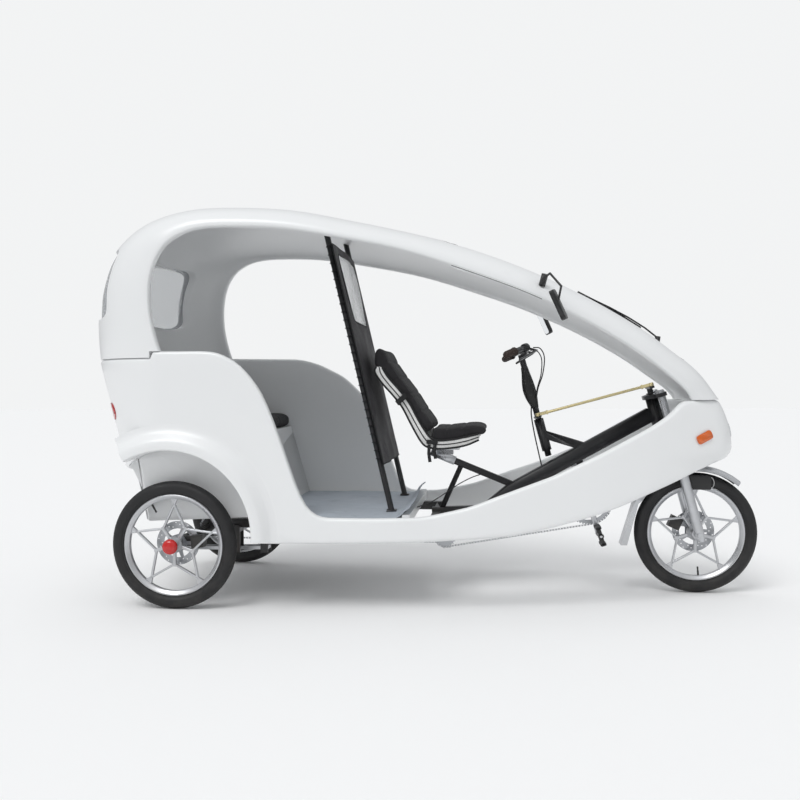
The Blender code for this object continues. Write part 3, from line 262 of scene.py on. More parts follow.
FINISH = {
    "body_white": finish("white_shell", (0.84, 0.85, 0.855), 0.30, 0.32, grain=160.0, bump=0.01, depth=0.0003,
                         dust=0.05, dust_reach=0.40, coat_weight=0.25, coat_roughness=0.2),
    "frame_black": finish("black_powder_coat", (0.014, 0.014, 0.016), 0.30, 0.44, grain=900.0, bump=0.18,
                          depth=0.0004, dust=0.25, dust_reach=0.45, second=(0.05, 0.05, 0.052), second_scale=22.0,
                          second_amount=0.45),
    "silver": finish("silver_cast", (0.60, 0.61, 0.63), 0.26, 0.42, metallic=0.85, grain=700.0, bump=0.12,
                     depth=0.0004, dust=0.22, dust_reach=0.35, second=(0.40, 0.41, 0.43), second_scale=26.0,
                     second_amount=0.4),
    "steel": finish("machined_steel", (0.42, 0.43, 0.45), 0.24, 0.42, metallic=1.0, grain=1200.0, bump=0.15,
                    depth=0.0003, second=(0.2, 0.18, 0.16), second_scale=45.0, second_amount=0.5),
    "tyre_rubber": finish("tyre_rubber", (0.011, 0.011, 0.012), 0.55, 0.72, grain=1500.0, bump=0.3, depth=0.0005,
                          dust=0.05, dust_reach=0.30, second=(0.022, 0.021, 0.021), second_scale=34.0,
                          second_amount=0.4),
    "cushion_black": finish("seat_cloth", (0.012, 0.011, 0.013), 0.72, 0.9, weave=420.0, bump=0.5, depth=0.0008,
                            sheen_weight=0.05, sheen_roughness=0.5),
    "cover_black": finish("coated_fabric", (0.018, 0.016, 0.020), 0.5, 0.68, weave=300.0, fuzz=0.15, bump=0.35,
                          depth=0.0007, second=(0.06, 0.055, 0.06), second_scale=12.0, second_amount=0.25,
                          sheen_weight=0.03),
    "clear_sheet": finish("clear_vinyl", (0.88, 0.89, 0.90), 0.10, 0.24, grain=22.0, bump=0.25, depth=0.002,
                          transmission_weight=0.8, ior=1.2, alpha=0.72),
    "screen": finish("clear_screen", (0.93, 0.96, 0.97), 0.02, 0.07, grain=8.0, bump=0.03, depth=0.001,
                     transmission_weight=0.92, ior=1.18, alpha=0.5),
    "mat_grey": finish("grey_floor_mat", (0.40, 0.44, 0.49), 0.5, 0.72, grain=240.0, bump=0.35, depth=0.001,
                       second=(0.25, 0.28, 0.32), second_scale=9.0, second_amount=0.6),
    "cap_red": finish("red_cap", (0.55, 0.012, 0.012), 0.16, 0.28, grain=300.0, bump=0.04, dust=0.12, dust_reach=0.4,
                      coat_weight=0.4),
    "marker_orange": finish("orange_lens", (0.85, 0.16, 0.012), 0.08, 0.18, grain=60.0, bump=0.05,
                            transmission_weight=0.25, coat_weight=0.6),
    "lamp_clear": finish("clear_lens", (0.86, 0.88, 0.90), 0.04, 0.12, grain=60.0, bump=0.05,
                         transmission_weight=0.45, coat_weight=0.6),
    "lamp_red": finish("red_lens", (0.50, 0.012, 0.014), 0.08, 0.18, grain=60.0, bump=0.05,
                       transmission_weight=0.2, coat_weight=0.6),
    "rod_zinc": finish("yellow_zinc", (0.70, 0.60, 0.34), 0.24, 0.4, metallic=0.9, grain=900.0, bump=0.15,
                       depth=0.0003, second=(0.45, 0.42, 0.36), second_scale=40.0, second_amount=0.6),
    "plastic_black": finish("black_plastic", (0.022, 0.022, 0.023), 0.36, 0.5, grain=1100.0, bump=0.25,
                            depth=0.0004, dust=0.15, dust_reach=0.4),
    "grip_rubber": finish("grip_rubber", (0.035, 0.022, 0.018), 0.7, 0.85, grain=700.0, bump=0.4, depth=0.0006),
}
EXTRA = {
    "piping_white": finish("white_piping", (0.74, 0.74, 0.73), 0.5, 0.66, weave=600.0, bump=0.25),
    "cable_black": finish("cable_sheath", (0.012, 0.012, 0.013), 0.35, 0.5, grain=1200.0, bump=0.1),
    "cable_white": finish("white_sheath", (0.62, 0.62, 0.62), 0.35, 0.5, grain=1200.0, bump=0.1),
    "mirror_glass": finish("mirror_face", (0.82, 0.84, 0.86), 0.02, 0.05, metallic=1.0, grain=6.0, bump=0.01),
    "seal_black": finish("rubber_seal", (0.012, 0.012, 0.012), 0.5, 0.65, grain=900.0, bump=0.2),
    "webbing": finish("webbing_black", (0.012, 0.012, 0.013), 0.7, 0.85, weave=900.0, bump=0.4),
    "smoky_sheet": finish("smoky_vinyl", (0.62, 0.64, 0.66), 0.10, 0.25, grain=14.0, bump=0.3, depth=0.003,
                          transmission_weight=0.55, ior=1.2, alpha=0.62),
}
print("finishes:", len(FINISH) + len(EXTRA))

# %% [markdown]
# Meshes are built from plain lists of points. Each finished piece has its place in its mesh, its object at the
# origin, smooth faces with sharp edges where the surface turns hard, a body to ride on and its material.

# %% From points to finished pieces
MERGE_WITHIN = 1e-6


def linked(name, data):
    made = bpy.data.objects.new(name, data)
    bpy.context.scene.collection.objects.link(made)
    return made


def raw_mesh(name, corners, faces, edges=()):
    """An object from points in the design's places."""
    mesh = bpy.data.meshes.new(name)
    mesh.from_pydata([tuple(to_world(c)) for c in corners], list(edges), [tuple(f) for f in faces])
    return linked(name, mesh)


def tidy_mesh(mesh, outward=True):
    """Merges loose triangles, drops empty ones and turns the faces outward."""
    work = bmesh.new()
    work.from_mesh(mesh)
    bmesh.ops.remove_doubles(work, verts=work.verts, dist=MERGE_WITHIN)
    bmesh.ops.dissolve_degenerate(work, edges=work.edges, dist=MERGE_WITHIN)
    if outward:
        bmesh.ops.recalc_face_normals(work, faces=work.faces)
    work.to_mesh(mesh)
    work.free()


def settle(made):
    """Turns the object's live modifiers into plain mesh."""
    bpy.context.view_layer.update()
    graph = bpy.context.evaluated_depsgraph_get()
    mesh = bpy.data.meshes.new_from_object(made.evaluated_get(graph))
    made.modifiers.clear()
    made.data = mesh
    return made


def dress(made, body, slot, material=None, crease=38.0, nodes=()):
    """Smooth faces, material and body for a finished piece; slot names the finish used when no material is given."""
    made.data.shade_smooth()
    made.data.set_sharp_from_angle(angle=math.radians(crease))
    made.data.materials.clear()
    made.data.materials.append(material or FINISH[slot])
    if body:
        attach(made, body)
    if nodes:
        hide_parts(*nodes)
    return made


def joined(parts):
    """Several (corners, faces) as one."""
    corners, faces, shift = [], [], 0
    for points, loops in parts:
        corners += [tuple(p) for p in points]
        faces += [tuple(i + shift for i in loop) for loop in loops]
        shift += len(points)
    return corners, faces


def build(name, parts, body, slot, material=None, crease=38.0, nodes=(), bevel=0.0):
    made = raw_mesh(name, *joined(parts))
    tidy_mesh(made.data)
    if bevel:
        softer = made.modifiers.new("edge", "BEVEL")
        softer.width, softer.segments, softer.limit_method, softer.angle_limit = bevel, 2, "ANGLE", math.radians(35)
        softer.use_clamp_overlap = True
        settle(made)
    return dress(made, body, slot, material, crease, nodes)


def flip(part):
    corners, faces = part
    return [(x, -y, z) for x, y, z in corners], [tuple(reversed(f)) for f in faces]


def both(parts):
    return list(parts) + [flip(p) for p in parts]


def loft(sections, ring=False):
    """Closed sections joined in order: a ring, or a solid with both ends closed."""
    loops = np.array(sections, float)
    rows, cols = loops.shape[:2]
    faces = []
    for i in range(rows if ring else rows - 1):
        for j in range(cols):
            k, m = (i + 1) % rows, (j + 1) % cols
            faces.append((i * cols + j, i * cols + m, k * cols + m, k * cols + j))
    if not ring:
        faces.append(tuple(reversed(range(cols))))
        faces.append(tuple(range((rows - 1) * cols, rows * cols)))
    return loops.reshape(-1, 3), faces


def turned(profile, centre, steps=96, start=0.0, end=360.0):
    """A closed (radius, y) outline turned about the Y line through centre."""
    whole = end - start >= 360.0
    angles = np.radians(np.linspace(start, end, steps + 1))
    if whole:
        angles = angles[:-1]
    x, y, z = centre
    return loft([[(x + r * math.cos(a), y + h, z + r * math.sin(a)) for r, h in profile] for a in angles], ring=whole)


def barrel(profile, start, end, sides=28):
    """(share along, radius) pairs turned about the line from start to end."""
    start, end = Vector(start), Vector(end)
    axis = (end - start).normalized()
    side = axis.orthogonal().normalized()
    other = axis.cross(side)
    return loft([[tuple(start + (end - start) * share + (side * math.cos(a) + other * math.sin(a)) * radius)
                  for a in np.linspace(0, 2 * math.pi, sides, endpoint=False)] for share, radius in profile])


def rod(start, end, radius, sides=24, edge=0.0):
    if not edge:
        return barrel([(0, radius), (1, radius)], start, end, sides)
    share = edge / (Vector(end) - Vector(start)).length
    return barrel([(0, radius - edge), (share, radius), (1 - share, radius), (1, radius - edge)], start, end, sides)


def smooth(points, count):
    """A Catmull-Rom curve through points, at count places."""
    keys = np.array(points, float)
    keys = np.vstack([2 * keys[0] - keys[1], keys, 2 * keys[-1] - keys[-2]])
    spans = len(keys) - 3
    out = []
    for t in np.linspace(0, spans, count):
        i = min(int(t), spans - 1)
        u = t - i
        a, b, c, d = keys[i : i + 4]
        out.append(0.5 * (2 * b + (c - a) * u + (2 * a - 5 * b + 4 * c - d) * u * u
                          + (3 * b - a - 3 * c + d) * u ** 3))
    return np.array(out)


def tube(path, section, side=(0, 1, 0)):
    """A section of (side, up) offsets swept along a path with mitred corners."""
    path = [Vector(p) for p in path]
    runs = [(b - a).normalized() for a, b in zip(path, path[1:])]
    across = (Vector(side) - runs[0] * runs[0].dot(Vector(side))).normalized()
    rings = []
    for i, at in enumerate(path):
        before, after = runs[max(i - 1, 0)], runs[min(i, len(runs) - 1)]
        up = before.cross(across)
        mitre = (before + after).normalized()
        ring = []
        for s, u in section:
            off = across * s + up * u
            ring.append(tuple(at + off - before * (off.dot(mitre) / before.dot(mitre))))
        rings.append(ring)
        across = (before.rotation_difference(after).to_matrix() @ across).normalized()
    return loft(rings)


def round_section(radius, sides=14):
    return [(radius * math.cos(a), radius * math.sin(a)) for a in np.linspace(0, 2 * math.pi, sides, endpoint=False)]


def soft_box(width, height, radius, steps=4):
    """A rectangle with rounded corners, as offsets."""
    out = []
    for cx, cy, first in ((1, 1, 0), (-1, 1, 90), (-1, -1, 180), (1, -1, 270)):
        for a in np.radians(np.linspace(first, first + 90, steps)):
            out.append((cx * (width / 2 - radius) + radius * math.cos(a),
                        cy * (height / 2 - radius) + radius * math.sin(a)))
    return out


def box_outline(left, low, right, high):
    return [(left, low), (right, low), (right, high), (left, high)]


def slab(outline, low, high, along="y"):
    """An outline drawn on two axes and given thickness along the third."""
    order = {"y": lambda a, b, c: (a, c, b), "x": lambda a, b, c: (c, a, b), "z": lambda a, b, c: (a, b, c)}[along]
    return loft([[order(a, b, c) for a, b in outline] for c in (low, high)])


def rounded(outline, radius, steps=6):
    """The outline with each corner replaced by a curve that starts radius from it."""
    out = []
    count = len(outline)
    for i in range(count):
        before, here, after = (np.array(outline[(i + k) % count], float) for k in (-1, 0, 1))
        a = here + (before - here) / np.linalg.norm(before - here) * radius
        b = here + (after - here) / np.linalg.norm(after - here) * radius
        for t in np.linspace(0, 1, steps):
            out.append(tuple(a * (1 - t) ** 2 + 2 * here * t * (1 - t) + b * t * t))
    return out


def cut(made, part, operation="DIFFERENCE"):
    """Cuts a shape out of the piece, or keeps only what lies inside it."""
    tool = raw_mesh("cutter", *part)
    tidy_mesh(tool.data)
    carve = made.modifiers.new("cut", "BOOLEAN")
    carve.operation, carve.solver, carve.object = operation, "EXACT", tool
    settle(made)
    bpy.data.objects.remove(tool)
    return made


print("builders ready")

# %% [markdown]
# The lower shell is one moulded tub: a wall that follows a plan outline, with its own top and bottom edges. It
# is lofted again here from the same tables as the solid, with many more stations, so that the light runs over
# it without facets. The wheel arches are cut out of it and each gets its rolled flare.

# %% Lower shell
TAIL_CENTRE_X, TAIL_DEPTH, TAIL_TUCK, BODY_HALF = -0.045, 0.418, 0.128, 0.505
NOSE_BELLY_Z, NOSE_UP, NOSE_DOWN, NOSE_TUCK = 0.635, 1.38, 12.0, 0.05
ARCH = (-0.01, 0.0, 0.301)
ARCH_R = 0.345
SIDE_PLAN = [
    (-0.045, 0.505), (0.20, 0.505), (0.60, 0.505), (0.90, 0.49), (1.05, 0.47), (1.25, 0.45), (1.50, 0.41),
    (1.73, 0.362), (1.94, 0.292), (2.06, 0.240), (2.16, 0.193), (2.243, 0.145), (2.287, 0.092), (2.303, 0.045),
    (2.308, 0.0),
]
NOSE_ROW = 8
TOP_EDGE = [
    (-0.5, 1.02), (-0.086, 1.02), (-0.074, 1.046), (0.137, 1.046), (0.194, 1.040), (0.275, 0.998), (0.323, 0.9465),
    (0.371, 0.883), (0.402, 0.812), (0.441, 0.710), (0.481, 0.592), (0.512, 0.4985), (0.539, 0.435),
    (0.5755, 0.396), (0.614, 0.379), (0.80, 0.377), (1.0, 0.380), (1.05, 0.387), (1.20, 0.42), (1.336, 0.470),
    (1.531, 0.539), (1.728, 0.627), (1.936, 0.731), (2.002, 0.768), (2.10, 0.8355), (2.4, 0.8355),
]
PANEL_LEFT = [
    (-0.074, 1.046), (0.30, 1.040), (0.345, 1.032), (0.414, 1.012), (0.54, 0.949), (0.636, 0.858), (0.698, 0.7545),
    (0.749, 0.627), (0.789, 0.505), (0.815, 0.432), (0.845, 0.396), (0.88, 0.379),
]
TOP_EDGE_LEFT = [r for r in TOP_EDGE if r[0] < PANEL_LEFT[0][0]] + PANEL_LEFT
TOP_EDGE_LEFT += [r for r in TOP_EDGE if r[0] > PANEL_LEFT[-1][0]]
BOTTOM_EDGE = [
    (-0.5, 0.56), (-0.21, 0.56), (-0.17, 0.40), (0.0, 0.275), (0.405, 0.273), (0.85, 0.279), (1.05, 0.283),
    (1.19, 0.291), (1.365, 0.303), (1.53, 0.3345), (1.697, 0.378), (1.794, 0.409), (1.881, 0.443), (1.961, 0.4745),
    (2.032, 0.501), (2.128, 0.540), (2.20, 0.566), (2.25, 0.582), (2.4, 0.60),
]
TAIL_ANGLES = list(np.arange(0, 84, 3)) + [84.37, 84.9, 85.5, 86.02, 88.0]
SIDE_SPACING, NOSE_STEPS, EDGE_TRIES = 0.022, 34, 14
STEP_X = -0.07
LIP = [(0.0, 0.45), (0.03, 0.30), (0.10, 0.16), (0.22, 0.06), (0.36, 0.01), (0.5, 0.0), (0.64, 0.01), (0.78, 0.06),
       (0.90, 0.16), (0.97, 0.30), (1.0, 0.45)]
WALL_LEVELS = np.linspace(0.0, 1.0, 12)[1:-1]


def at_edge(table, x, reach=0.028):
    """Edge height at x, eased over the table's corners ahead of the seam's step."""
    xs = [x] if x < STEP_X else np.maximum(x + np.linspace(-reach, reach, 7), STEP_X)
    return float(np.mean(np.interp(xs, [r[0] for r in table], [r[1] for r in table])))


def plan_keys():
    keys = [("tail", float(a), 0.0) for a in TAIL_ANGLES]
    curve = smooth(SIDE_PLAN, 500)
    keys += [("side", float(x), float(np.interp(x, curve[:, 0], curve[:, 1])))
             for x in np.arange(-0.045, 1.937, SIDE_SPACING)]
    nose = smooth(SIDE_PLAN[NOSE_ROW:], NOSE_STEPS + 1)[1:]
    return keys + [("side", float(x), max(float(y), 0.0)) for x, y in nose]


HALF_KEYS = plan_keys()
KEYS = HALF_KEYS + [HALF_KEYS[i] for i in range(len(HALF_KEYS) - 2, 0, -1)]


def place_at(n, z):
    """The shell's outer face for station n at height z."""
    n %= len(KEYS)
    kind, u, half = KEYS[n]
    way = 1 if n < len(HALF_KEYS) else -1
    if kind == "tail":
        tuck = TAIL_TUCK * max(1.0 - z, 0.0) / 0.43
        a = math.radians(u)
        return TAIL_CENTRE_X - (TAIL_DEPTH - tuck) * math.cos(a), way * BODY_HALF * math.sin(a)
    rise = z - NOSE_BELLY_Z
    shift = -NOSE_UP * rise * rise if rise > 0 else -min(NOSE_DOWN * rise * rise, NOSE_TUCK)
    share = min(max((u - 1.9) / 0.4, 0.0), 1.0)
    return u + shift * share * share * (3 - 2 * share), way * half


def wall_point(n, z, inset):
    (ax, ay), (x, y), (bx, by) = (place_at(n + k, z) for k in (-1, 0, 1))
    length = math.hypot(bx - ax, by - ay)
    return x + (by - ay) / length * inset, y - (bx - ax) / length * inset, z


def tub_ring():
    sections = []
    for n, key in enumerate(KEYS):
        table = TOP_EDGE_LEFT if n < len(HALF_KEYS) else TOP_EDGE
        top = at_edge(table, place_at(n, SEAM_Z if key[0] == "tail" else NOSE_BELLY_Z)[0])
        bottom = 0.5
        for _ in range(EDGE_TRIES):
            bottom += 0.6 * (at_edge(BOTTOM_EDGE, place_at(n, bottom)[0]) - bottom)
        low = bottom + 0.3 * WALL
        rise = [low + (top - 0.45 * WALL - low) * s for s in WALL_LEVELS]
        marks = [(0.5, bottom), (0.25, bottom + 0.02 * WALL), (0.07, bottom + 0.12 * WALL), (0.0, low)]
        marks += [(0.0, z) for z in rise] + [(s, top - drop * WALL) for s, drop in LIP]
        marks += [(1.0, z) for z in reversed(rise)]
        marks += [(1.0, low), (0.93, bottom + 0.12 * WALL), (0.75, bottom + 0.02 * WALL)]
        sections.append([wall_point(n, z, share * WALL) for share, z in marks])
    return loft(sections, ring=True)


tub = raw_mesh("shell_tub", *tub_ring())
tidy_mesh(tub.data)
arch_tool = rod((ARCH[0], -0.7, ARCH[2]), (ARCH[0], -0.40, ARCH[2]), ARCH_R, 120)
for side_tool in both([arch_tool]):
    cut(tub, side_tool)
dress(tub, "chassis", "body_white", crease=50.0, nodes=["lower_body"])

flare_profile = smooth([(0.3455, -0.478), (0.3455, -0.515), (0.3462, -0.535), (0.350, -0.5435), (0.359, -0.5448),
                        (0.372, -0.5440), (0.388, -0.539), (0.405, -0.526), (0.420, -0.5145), (0.436, -0.508),
                        (0.452, -0.5052)], 40)
flare_profile = [tuple(p) for p in flare_profile] + [(0.452, -0.490), (0.40, -0.478)]
FLARE_ENDS = (-2.8, 120.0)
build("arch_flares", both([turned(flare_profile, ARCH, 90, *FLARE_ENDS)]), "chassis", "body_white", crease=55.0)
print("tub faces:", len(tub.data.polygons))

# %% [markdown]
# The roof is a single curved shell that comes down to a rail on each side. The rows give its middle line and
# its edges, and the skin is lofted between two depths with a rounded rim. The windscreen and the rear window
# are cut out of it, and each pane is a slice of the same skin, so it follows the curve exactly.

# %% Roof shell, panes and seals
ROOF_ROWS = [
    (-0.463, SEAM_Z, -0.045, 0.505, SEAM_Z),
    (-0.466, 1.10, -0.075, 0.505, 1.11),
    (-0.464, 1.20, -0.094, 0.505, 1.21),
    (-0.45, 1.32, -0.095, 0.505, 1.315),
    (-0.40, 1.457, -0.075, 0.50, 1.405),
    (-0.31, 1.56, -0.035, 0.495, 1.475),
    (-0.18, 1.637, 0.02, 0.488, 1.518),
    (0.0, 1.680, 0.10, 0.482, 1.547),
    (0.2, 1.686, 0.22, 0.473, 1.556),
    (0.45, 1.668, 0.45, 0.463, 1.545),
    (0.7, 1.618, 0.7, 0.45, 1.503),
    (0.95, 1.562, 0.95, 0.432, 1.448),
    (1.2, 1.498, 1.2, 0.41, 1.366),
    (1.45, 1.405, 1.45, 0.38, 1.272),
    (1.7, 1.284, 1.68, 0.338, 1.162),
    (1.9, 1.165, 1.87, 0.295, 1.05),
    (2.05, 1.052, 2.0, 0.258, 0.955),
    (2.165, 0.955, 2.08, 0.222, 0.887),
    (2.254, 0.8372, 2.112, 0.190, 0.8372),
]
ROOF_COUNT, ROOF_COLUMNS = 150, 60
SCREEN_PLAN = [(1.08, -0.27), (1.45, -0.25), (1.80, -0.20), (2.11, -0.115), (2.11, 0.115), (1.80, 0.20),
               (1.45, 0.25), (1.08, 0.27)]
TAIL_WINDOW = [(-0.42, 1.19), (0.42, 1.19), (0.40, 1.485), (-0.40, 1.485)]
SIDE_NOTCH = (-0.088, 0.95, 0.25, 1.0465)


def roof_grid():
    rows = smooth(ROOF_ROWS, ROOF_COUNT)
    rows[0, [1, 4]] = SEAM_Z
    grid = []
    for xc, zc, xe, half, ze in rows:
        bow = 1 - np.cos(np.radians(np.linspace(-90, 90, ROOF_COLUMNS + 1)))
        across = half * np.sin(np.radians(np.linspace(-90, 90, ROOF_COLUMNS + 1)))
        grid.append(np.stack([xc + (xe - xc) * bow, across, zc + (ze - zc) * bow], axis=1))
    return np.array(grid)


def roof_frame():
    """The roof's outer grid and the unit vectors that point out of it."""
    grid = roof_grid()
    normal = np.cross(np.gradient(grid, axis=0), np.gradient(grid, axis=1))
    normal /= np.linalg.norm(normal, axis=2)[:, :, None]
    if (normal * (grid - np.array((0.6, 0.0, 0.9)))).sum() < 0:
        normal = -normal
    for row in (0, -1):
        normal[row, :, 2] = 0.0
        normal[row] /= np.linalg.norm(normal[row], axis=1)[:, None]
    return grid, normal


ROOF, ROOF_OUT = roof_frame()


def rim(start, end, away, swell):
    away = away / np.linalg.norm(away)
    away[2] = min(away[2], 0.0)
    middle, reach = (start + end) / 2, (start - end) / 2
    return [middle + reach * math.cos(a) + away * swell * math.sin(a) for a in np.linspace(0, math.pi, 11)[1:-1]]


def roof_skin(outer, inner, swell=0.0):
    sections = []
    for a, b in zip(ROOF - ROOF_OUT * outer, ROOF - ROOF_OUT * inner):
        section = list(a) + (rim(a[-1], b[-1], a[-1] - a[-2], swell) if swell else [])
        section += list(b[::-1]) + (rim(b[0], a[0], a[0] - a[1], swell) if swell else [])
        sections.append(section)
    return loft(sections)


roof = raw_mesh("roof_moulding", *roof_skin(0.0, WALL, WALL * 0.26))
tidy_mesh(roof.data)
screen_hole = slab(rounded(SCREEN_PLAN, 0.07, 10), 0.7, 1.9, "z")
window_hole = slab(rounded(TAIL_WINDOW, 0.06, 10), -0.8, -0.19, "x")
for tool in (screen_hole, window_hole, slab(box_outline(*SIDE_NOTCH), -0.6, 0.6)):
    cut(roof, tool)
dress(roof, "chassis", "body_white", crease=50.0, nodes=["roof_shell"])


def shrunk(outline, by):
    middle, size = np.array(outline).mean(axis=0), np.ptp(np.array(outline), axis=0)
    return [tuple(middle + (np.array(p) - middle) * (1 - 2 * by / size)) for p in outline]


def pane(name, outline, radius, low, high, along, depths, slot, material, replaced):
    glass = raw_mesh(name, *roof_skin(*depths))
    tidy_mesh(glass.data)
    cut(glass, slab(rounded(shrunk(outline, 0.0006), radius, 10), low, high, along), "INTERSECT")
    return dress(glass, "chassis", slot, material, 50.0, [replaced])


pane("front_screen", SCREEN_PLAN, 0.07, 0.7, 1.9, "z", (0.008, 0.012), "screen", FINISH["screen"], "windscreen")
pane("rear_pane", TAIL_WINDOW, 0.06, -0.8, -0.19, "x", (0.012, 0.016), "clear_sheet", EXTRA["smoky_sheet"],
     "rear_window")


def on_roof(points, along, sink=0.0):
    """Carries outline points onto the roof's skin: plan points by z, tail points by x."""
    flat = ROOF.reshape(-1, 3)
    out_of = ROOF_OUT.reshape(-1, 3)
    ahead = flat[:, 0] > (0.5 if along == "z" else -9.0)
    behind = flat[:, 0] < (9.0 if along == "z" else 0.1)
    keep = ahead & behind
    flat, out_of = flat[keep], out_of[keep]
    axes = [0, 1] if along == "z" else [1, 2]
    result = []
    for p in points:
        gap = np.linalg.norm(flat[:, axes] - np.array(p), axis=1)
        near = np.argsort(gap)[:4]
        weight = 1 / (gap[near] + 1e-5)
        weight /= weight.sum()
        at = (flat[near] * weight[:, None]).sum(axis=0)
        out = (out_of[near] * weight[:, None]).sum(axis=0)
        at[axes[0]], at[axes[1]] = p
        result.append(Vector(at - out * sink))
    return result


def loop_tube(points, radius, sides=8):
    """A round bead round a closed line."""
    count = len(points)
    sections = []
    for i, at in enumerate(points):
        run = (points[(i + 1) % count] - points[i - 1]).normalized()
        across = run.cross(Vector((0.13, 0.07, 0.98))).normalized()
        up = across.cross(run)
        sections.append([tuple(at + across * (radius * math.cos(a)) + up * (radius * math.sin(a)))
                         for a in np.linspace(0, 2 * math.pi, sides, endpoint=False)])
    return loft(sections, ring=True)


def even(points, count):
    """The same closed line at evenly spaced places."""
    line = np.array([tuple(p) for p in points] + [tuple(points[0])])
    run = np.concatenate([[0], np.cumsum(np.linalg.norm(np.diff(line, axis=0), axis=1))])
    at = np.linspace(0, run[-1], count, endpoint=False)
    return [Vector([float(np.interp(t, run, line[:, k])) for k in range(3)]) for t in at]


screen_line = even(on_roof(rounded(shrunk(SCREEN_PLAN, 0.002), 0.07, 10), "z", 0.004), 150)
tail_line = even(on_roof(rounded(shrunk(TAIL_WINDOW, 0.002), 0.06, 10), "x", 0.006), 120)
build("screen_seal", [loop_tube(screen_line, 0.0042)], "chassis", "plastic_black", EXTRA["seal_black"], 60.0)
build("rear_pane_seal", [loop_tube(tail_line, 0.0036)], "chassis", "body_white", FINISH["body_white"], 60.0)
print("roof faces:", len(roof.data.polygons))

# %% [markdown]
# Each wheel is one casting: a rim with rolled lips, a hub and a five-pointed star of bars that meet in pairs at
# the rim. All of it is turned or swept from short outlines. The tyre is turned too, and its rounded shoulders
# are cut by slanted grooves that repeat round it. The brake discs get their windows and drilled holes with one
# cutter each.

# %% Wheels, tyres and brake discs
WHEELS = [("front", "front_wheel", WHEELBASE, 0.0), ("rear_right", "rear_right_wheel", 0.0, -TRACK / 2),
          ("rear_left", "rear_left_wheel", 0.0, TRACK / 2)]
RIM_SIDE = [(0.2068, 0.0165), (0.2060, 0.0188), (0.2035, 0.0204), (0.2008, 0.0203), (0.1975, 0.0180),
            (0.1925, 0.0132),
            (0.1885, 0.0105), (0.1870, 0.0085), (0.1866, 0.0050)]
HUB_SIDE = [(0.0115, 0.046), (0.0195, 0.0462), (0.0222, 0.0445), (0.0228, 0.036), (0.0245, 0.026), (0.029, 0.018),
            (0.033, 0.012), (0.0345, 0.0095), (0.0345, 0.004)]
TYRE_SIDE = [(0.2075, 0.0165), (0.2100, 0.0186), (0.2135, 0.0198), (0.2190, 0.0242), (0.2270, 0.0268),
             (0.2345, 0.0275), (0.2430, 0.0258), (0.2500, 0.0210), (0.2555, 0.0140), (0.2588, 0.0070), (0.2600, 0.0)]
TREAD_STEPS, TREAD_PITCH, TREAD_DEPTH, TREAD_LEAN, ROUND_GROOVE = 264, 4, 0.0020, 260, 0.0014
STAR_POINTS, STAR_TURN, FIRST_VALLEY = 5, 72, 54
STEM_RADII, STEM_SECTION = (0.028, 0.060, 0.088), soft_box(0.015, 0.0135, 0.004)
BAR_INNER, BAR_OUTER, BAR_SECTION = 0.078, 0.1905, soft_box(0.0140, 0.0092, 0.0032)
WEB, WEB_HALF = ((0.174, -0.8), (0.1905, -4.5), (0.1905, 4.5), (0.174, 0.8)), 0.0062
VALVE = [(0, 0.0042), (0.55, 0.0042), (0.56, 0.0034), (0.8, 0.0034), (0.81, 0.0040), (1, 0.0036)]


def mirrored_profile(side):
    return list(side) + [(r, -y) for r, y in reversed(side)]


def wheel_spot(at, radius, angle):
    x, y, z = at
    return (x + radius * math.cos(math.radians(angle)), y, z + radius * math.sin(math.radians(angle)))


def tyre_part(at):
    line = smooth(TYRE_SIDE, 27)
    profile = [(r, y) for r, y in line] + [(r, -y) for r, y in reversed(line[:-1])]
    sections = []
    for k in range(TREAD_STEPS):
        a = 2 * math.pi * k / TREAD_STEPS
        ring = []
        for r, y in profile:
            lean = int(round(abs(y) * TREAD_LEAN))
            cross = (k + lean) % TREAD_PITCH == 0 and 0.004 < abs(y) and r > 0.246
            round_groove = r > 0.252 and 0.0030 < abs(y) < 0.0052
            rib = 0.0006 if 0.2215 < r < 0.2235 else 0.0
            r -= TREAD_DEPTH * cross + ROUND_GROOVE * round_groove
            ring.append((at[0] + r * math.cos(a), at[1] + y + math.copysign(rib, y), at[2] + r * math.sin(a)))
        sections.append(ring)
    return loft(sections, ring=True)


for name, body, x, y in WHEELS:
    at = (x, y, WHEEL_R)
    build(name + "_tyre_treaded", [tyre_part(at)], body, "tyre_rubber", crease=30.0, nodes=[name + "_tyre"])
    build(name + "_rim", [turned(mirrored_profile(RIM_SIDE), at, 120), turned(mirrored_profile(HUB_SIDE), at, 48)],
          body, "silver", crease=50.0)
    bars = []
    for k in range(STAR_POINTS):
        valley = FIRST_VALLEY + STAR_TURN * k
        point = valley + STAR_TURN / 2
        bars.append(tube([wheel_spot(at, r, valley) for r in STEM_RADII], STEM_SECTION))
        for way in (1, -1):
            tip = valley + (STAR_TURN / 2 + 3.5) * way
            bars.append(tube([wheel_spot(at, BAR_INNER, valley - 2 * way), wheel_spot(at, BAR_OUTER, tip)],
                             BAR_SECTION))
        web = [wheel_spot(at, r, point + d) for r, d in WEB]
        bars.append(slab([(p[0], p[2]) for p in web], y - WEB_HALF, y + WEB_HALF))
    build(name + "_star", bars, body, "silver", crease=40.0, nodes=[name + "_wheel"])
    stem = 274.0 if name == "front" else 120.0
    build(name + "_valve", [barrel(VALVE, wheel_spot(at, 0.188, stem), wheel_spot(at, 0.150, stem), 16)], body,
          "plastic_black")

DISC_OUTER, DISC_INNER, DISC_THICK = 0.090, 0.0235, 0.003
DISC_WINDOW = ((0.038, 12), (0.038, 60), (0.060, 66), (0.060, 50), (0.060, 36), (0.060, 20), (0.060, 6))
DISC_HOLES, HOLE_R, CUT_REACH = 30, 0.0027, 0.01


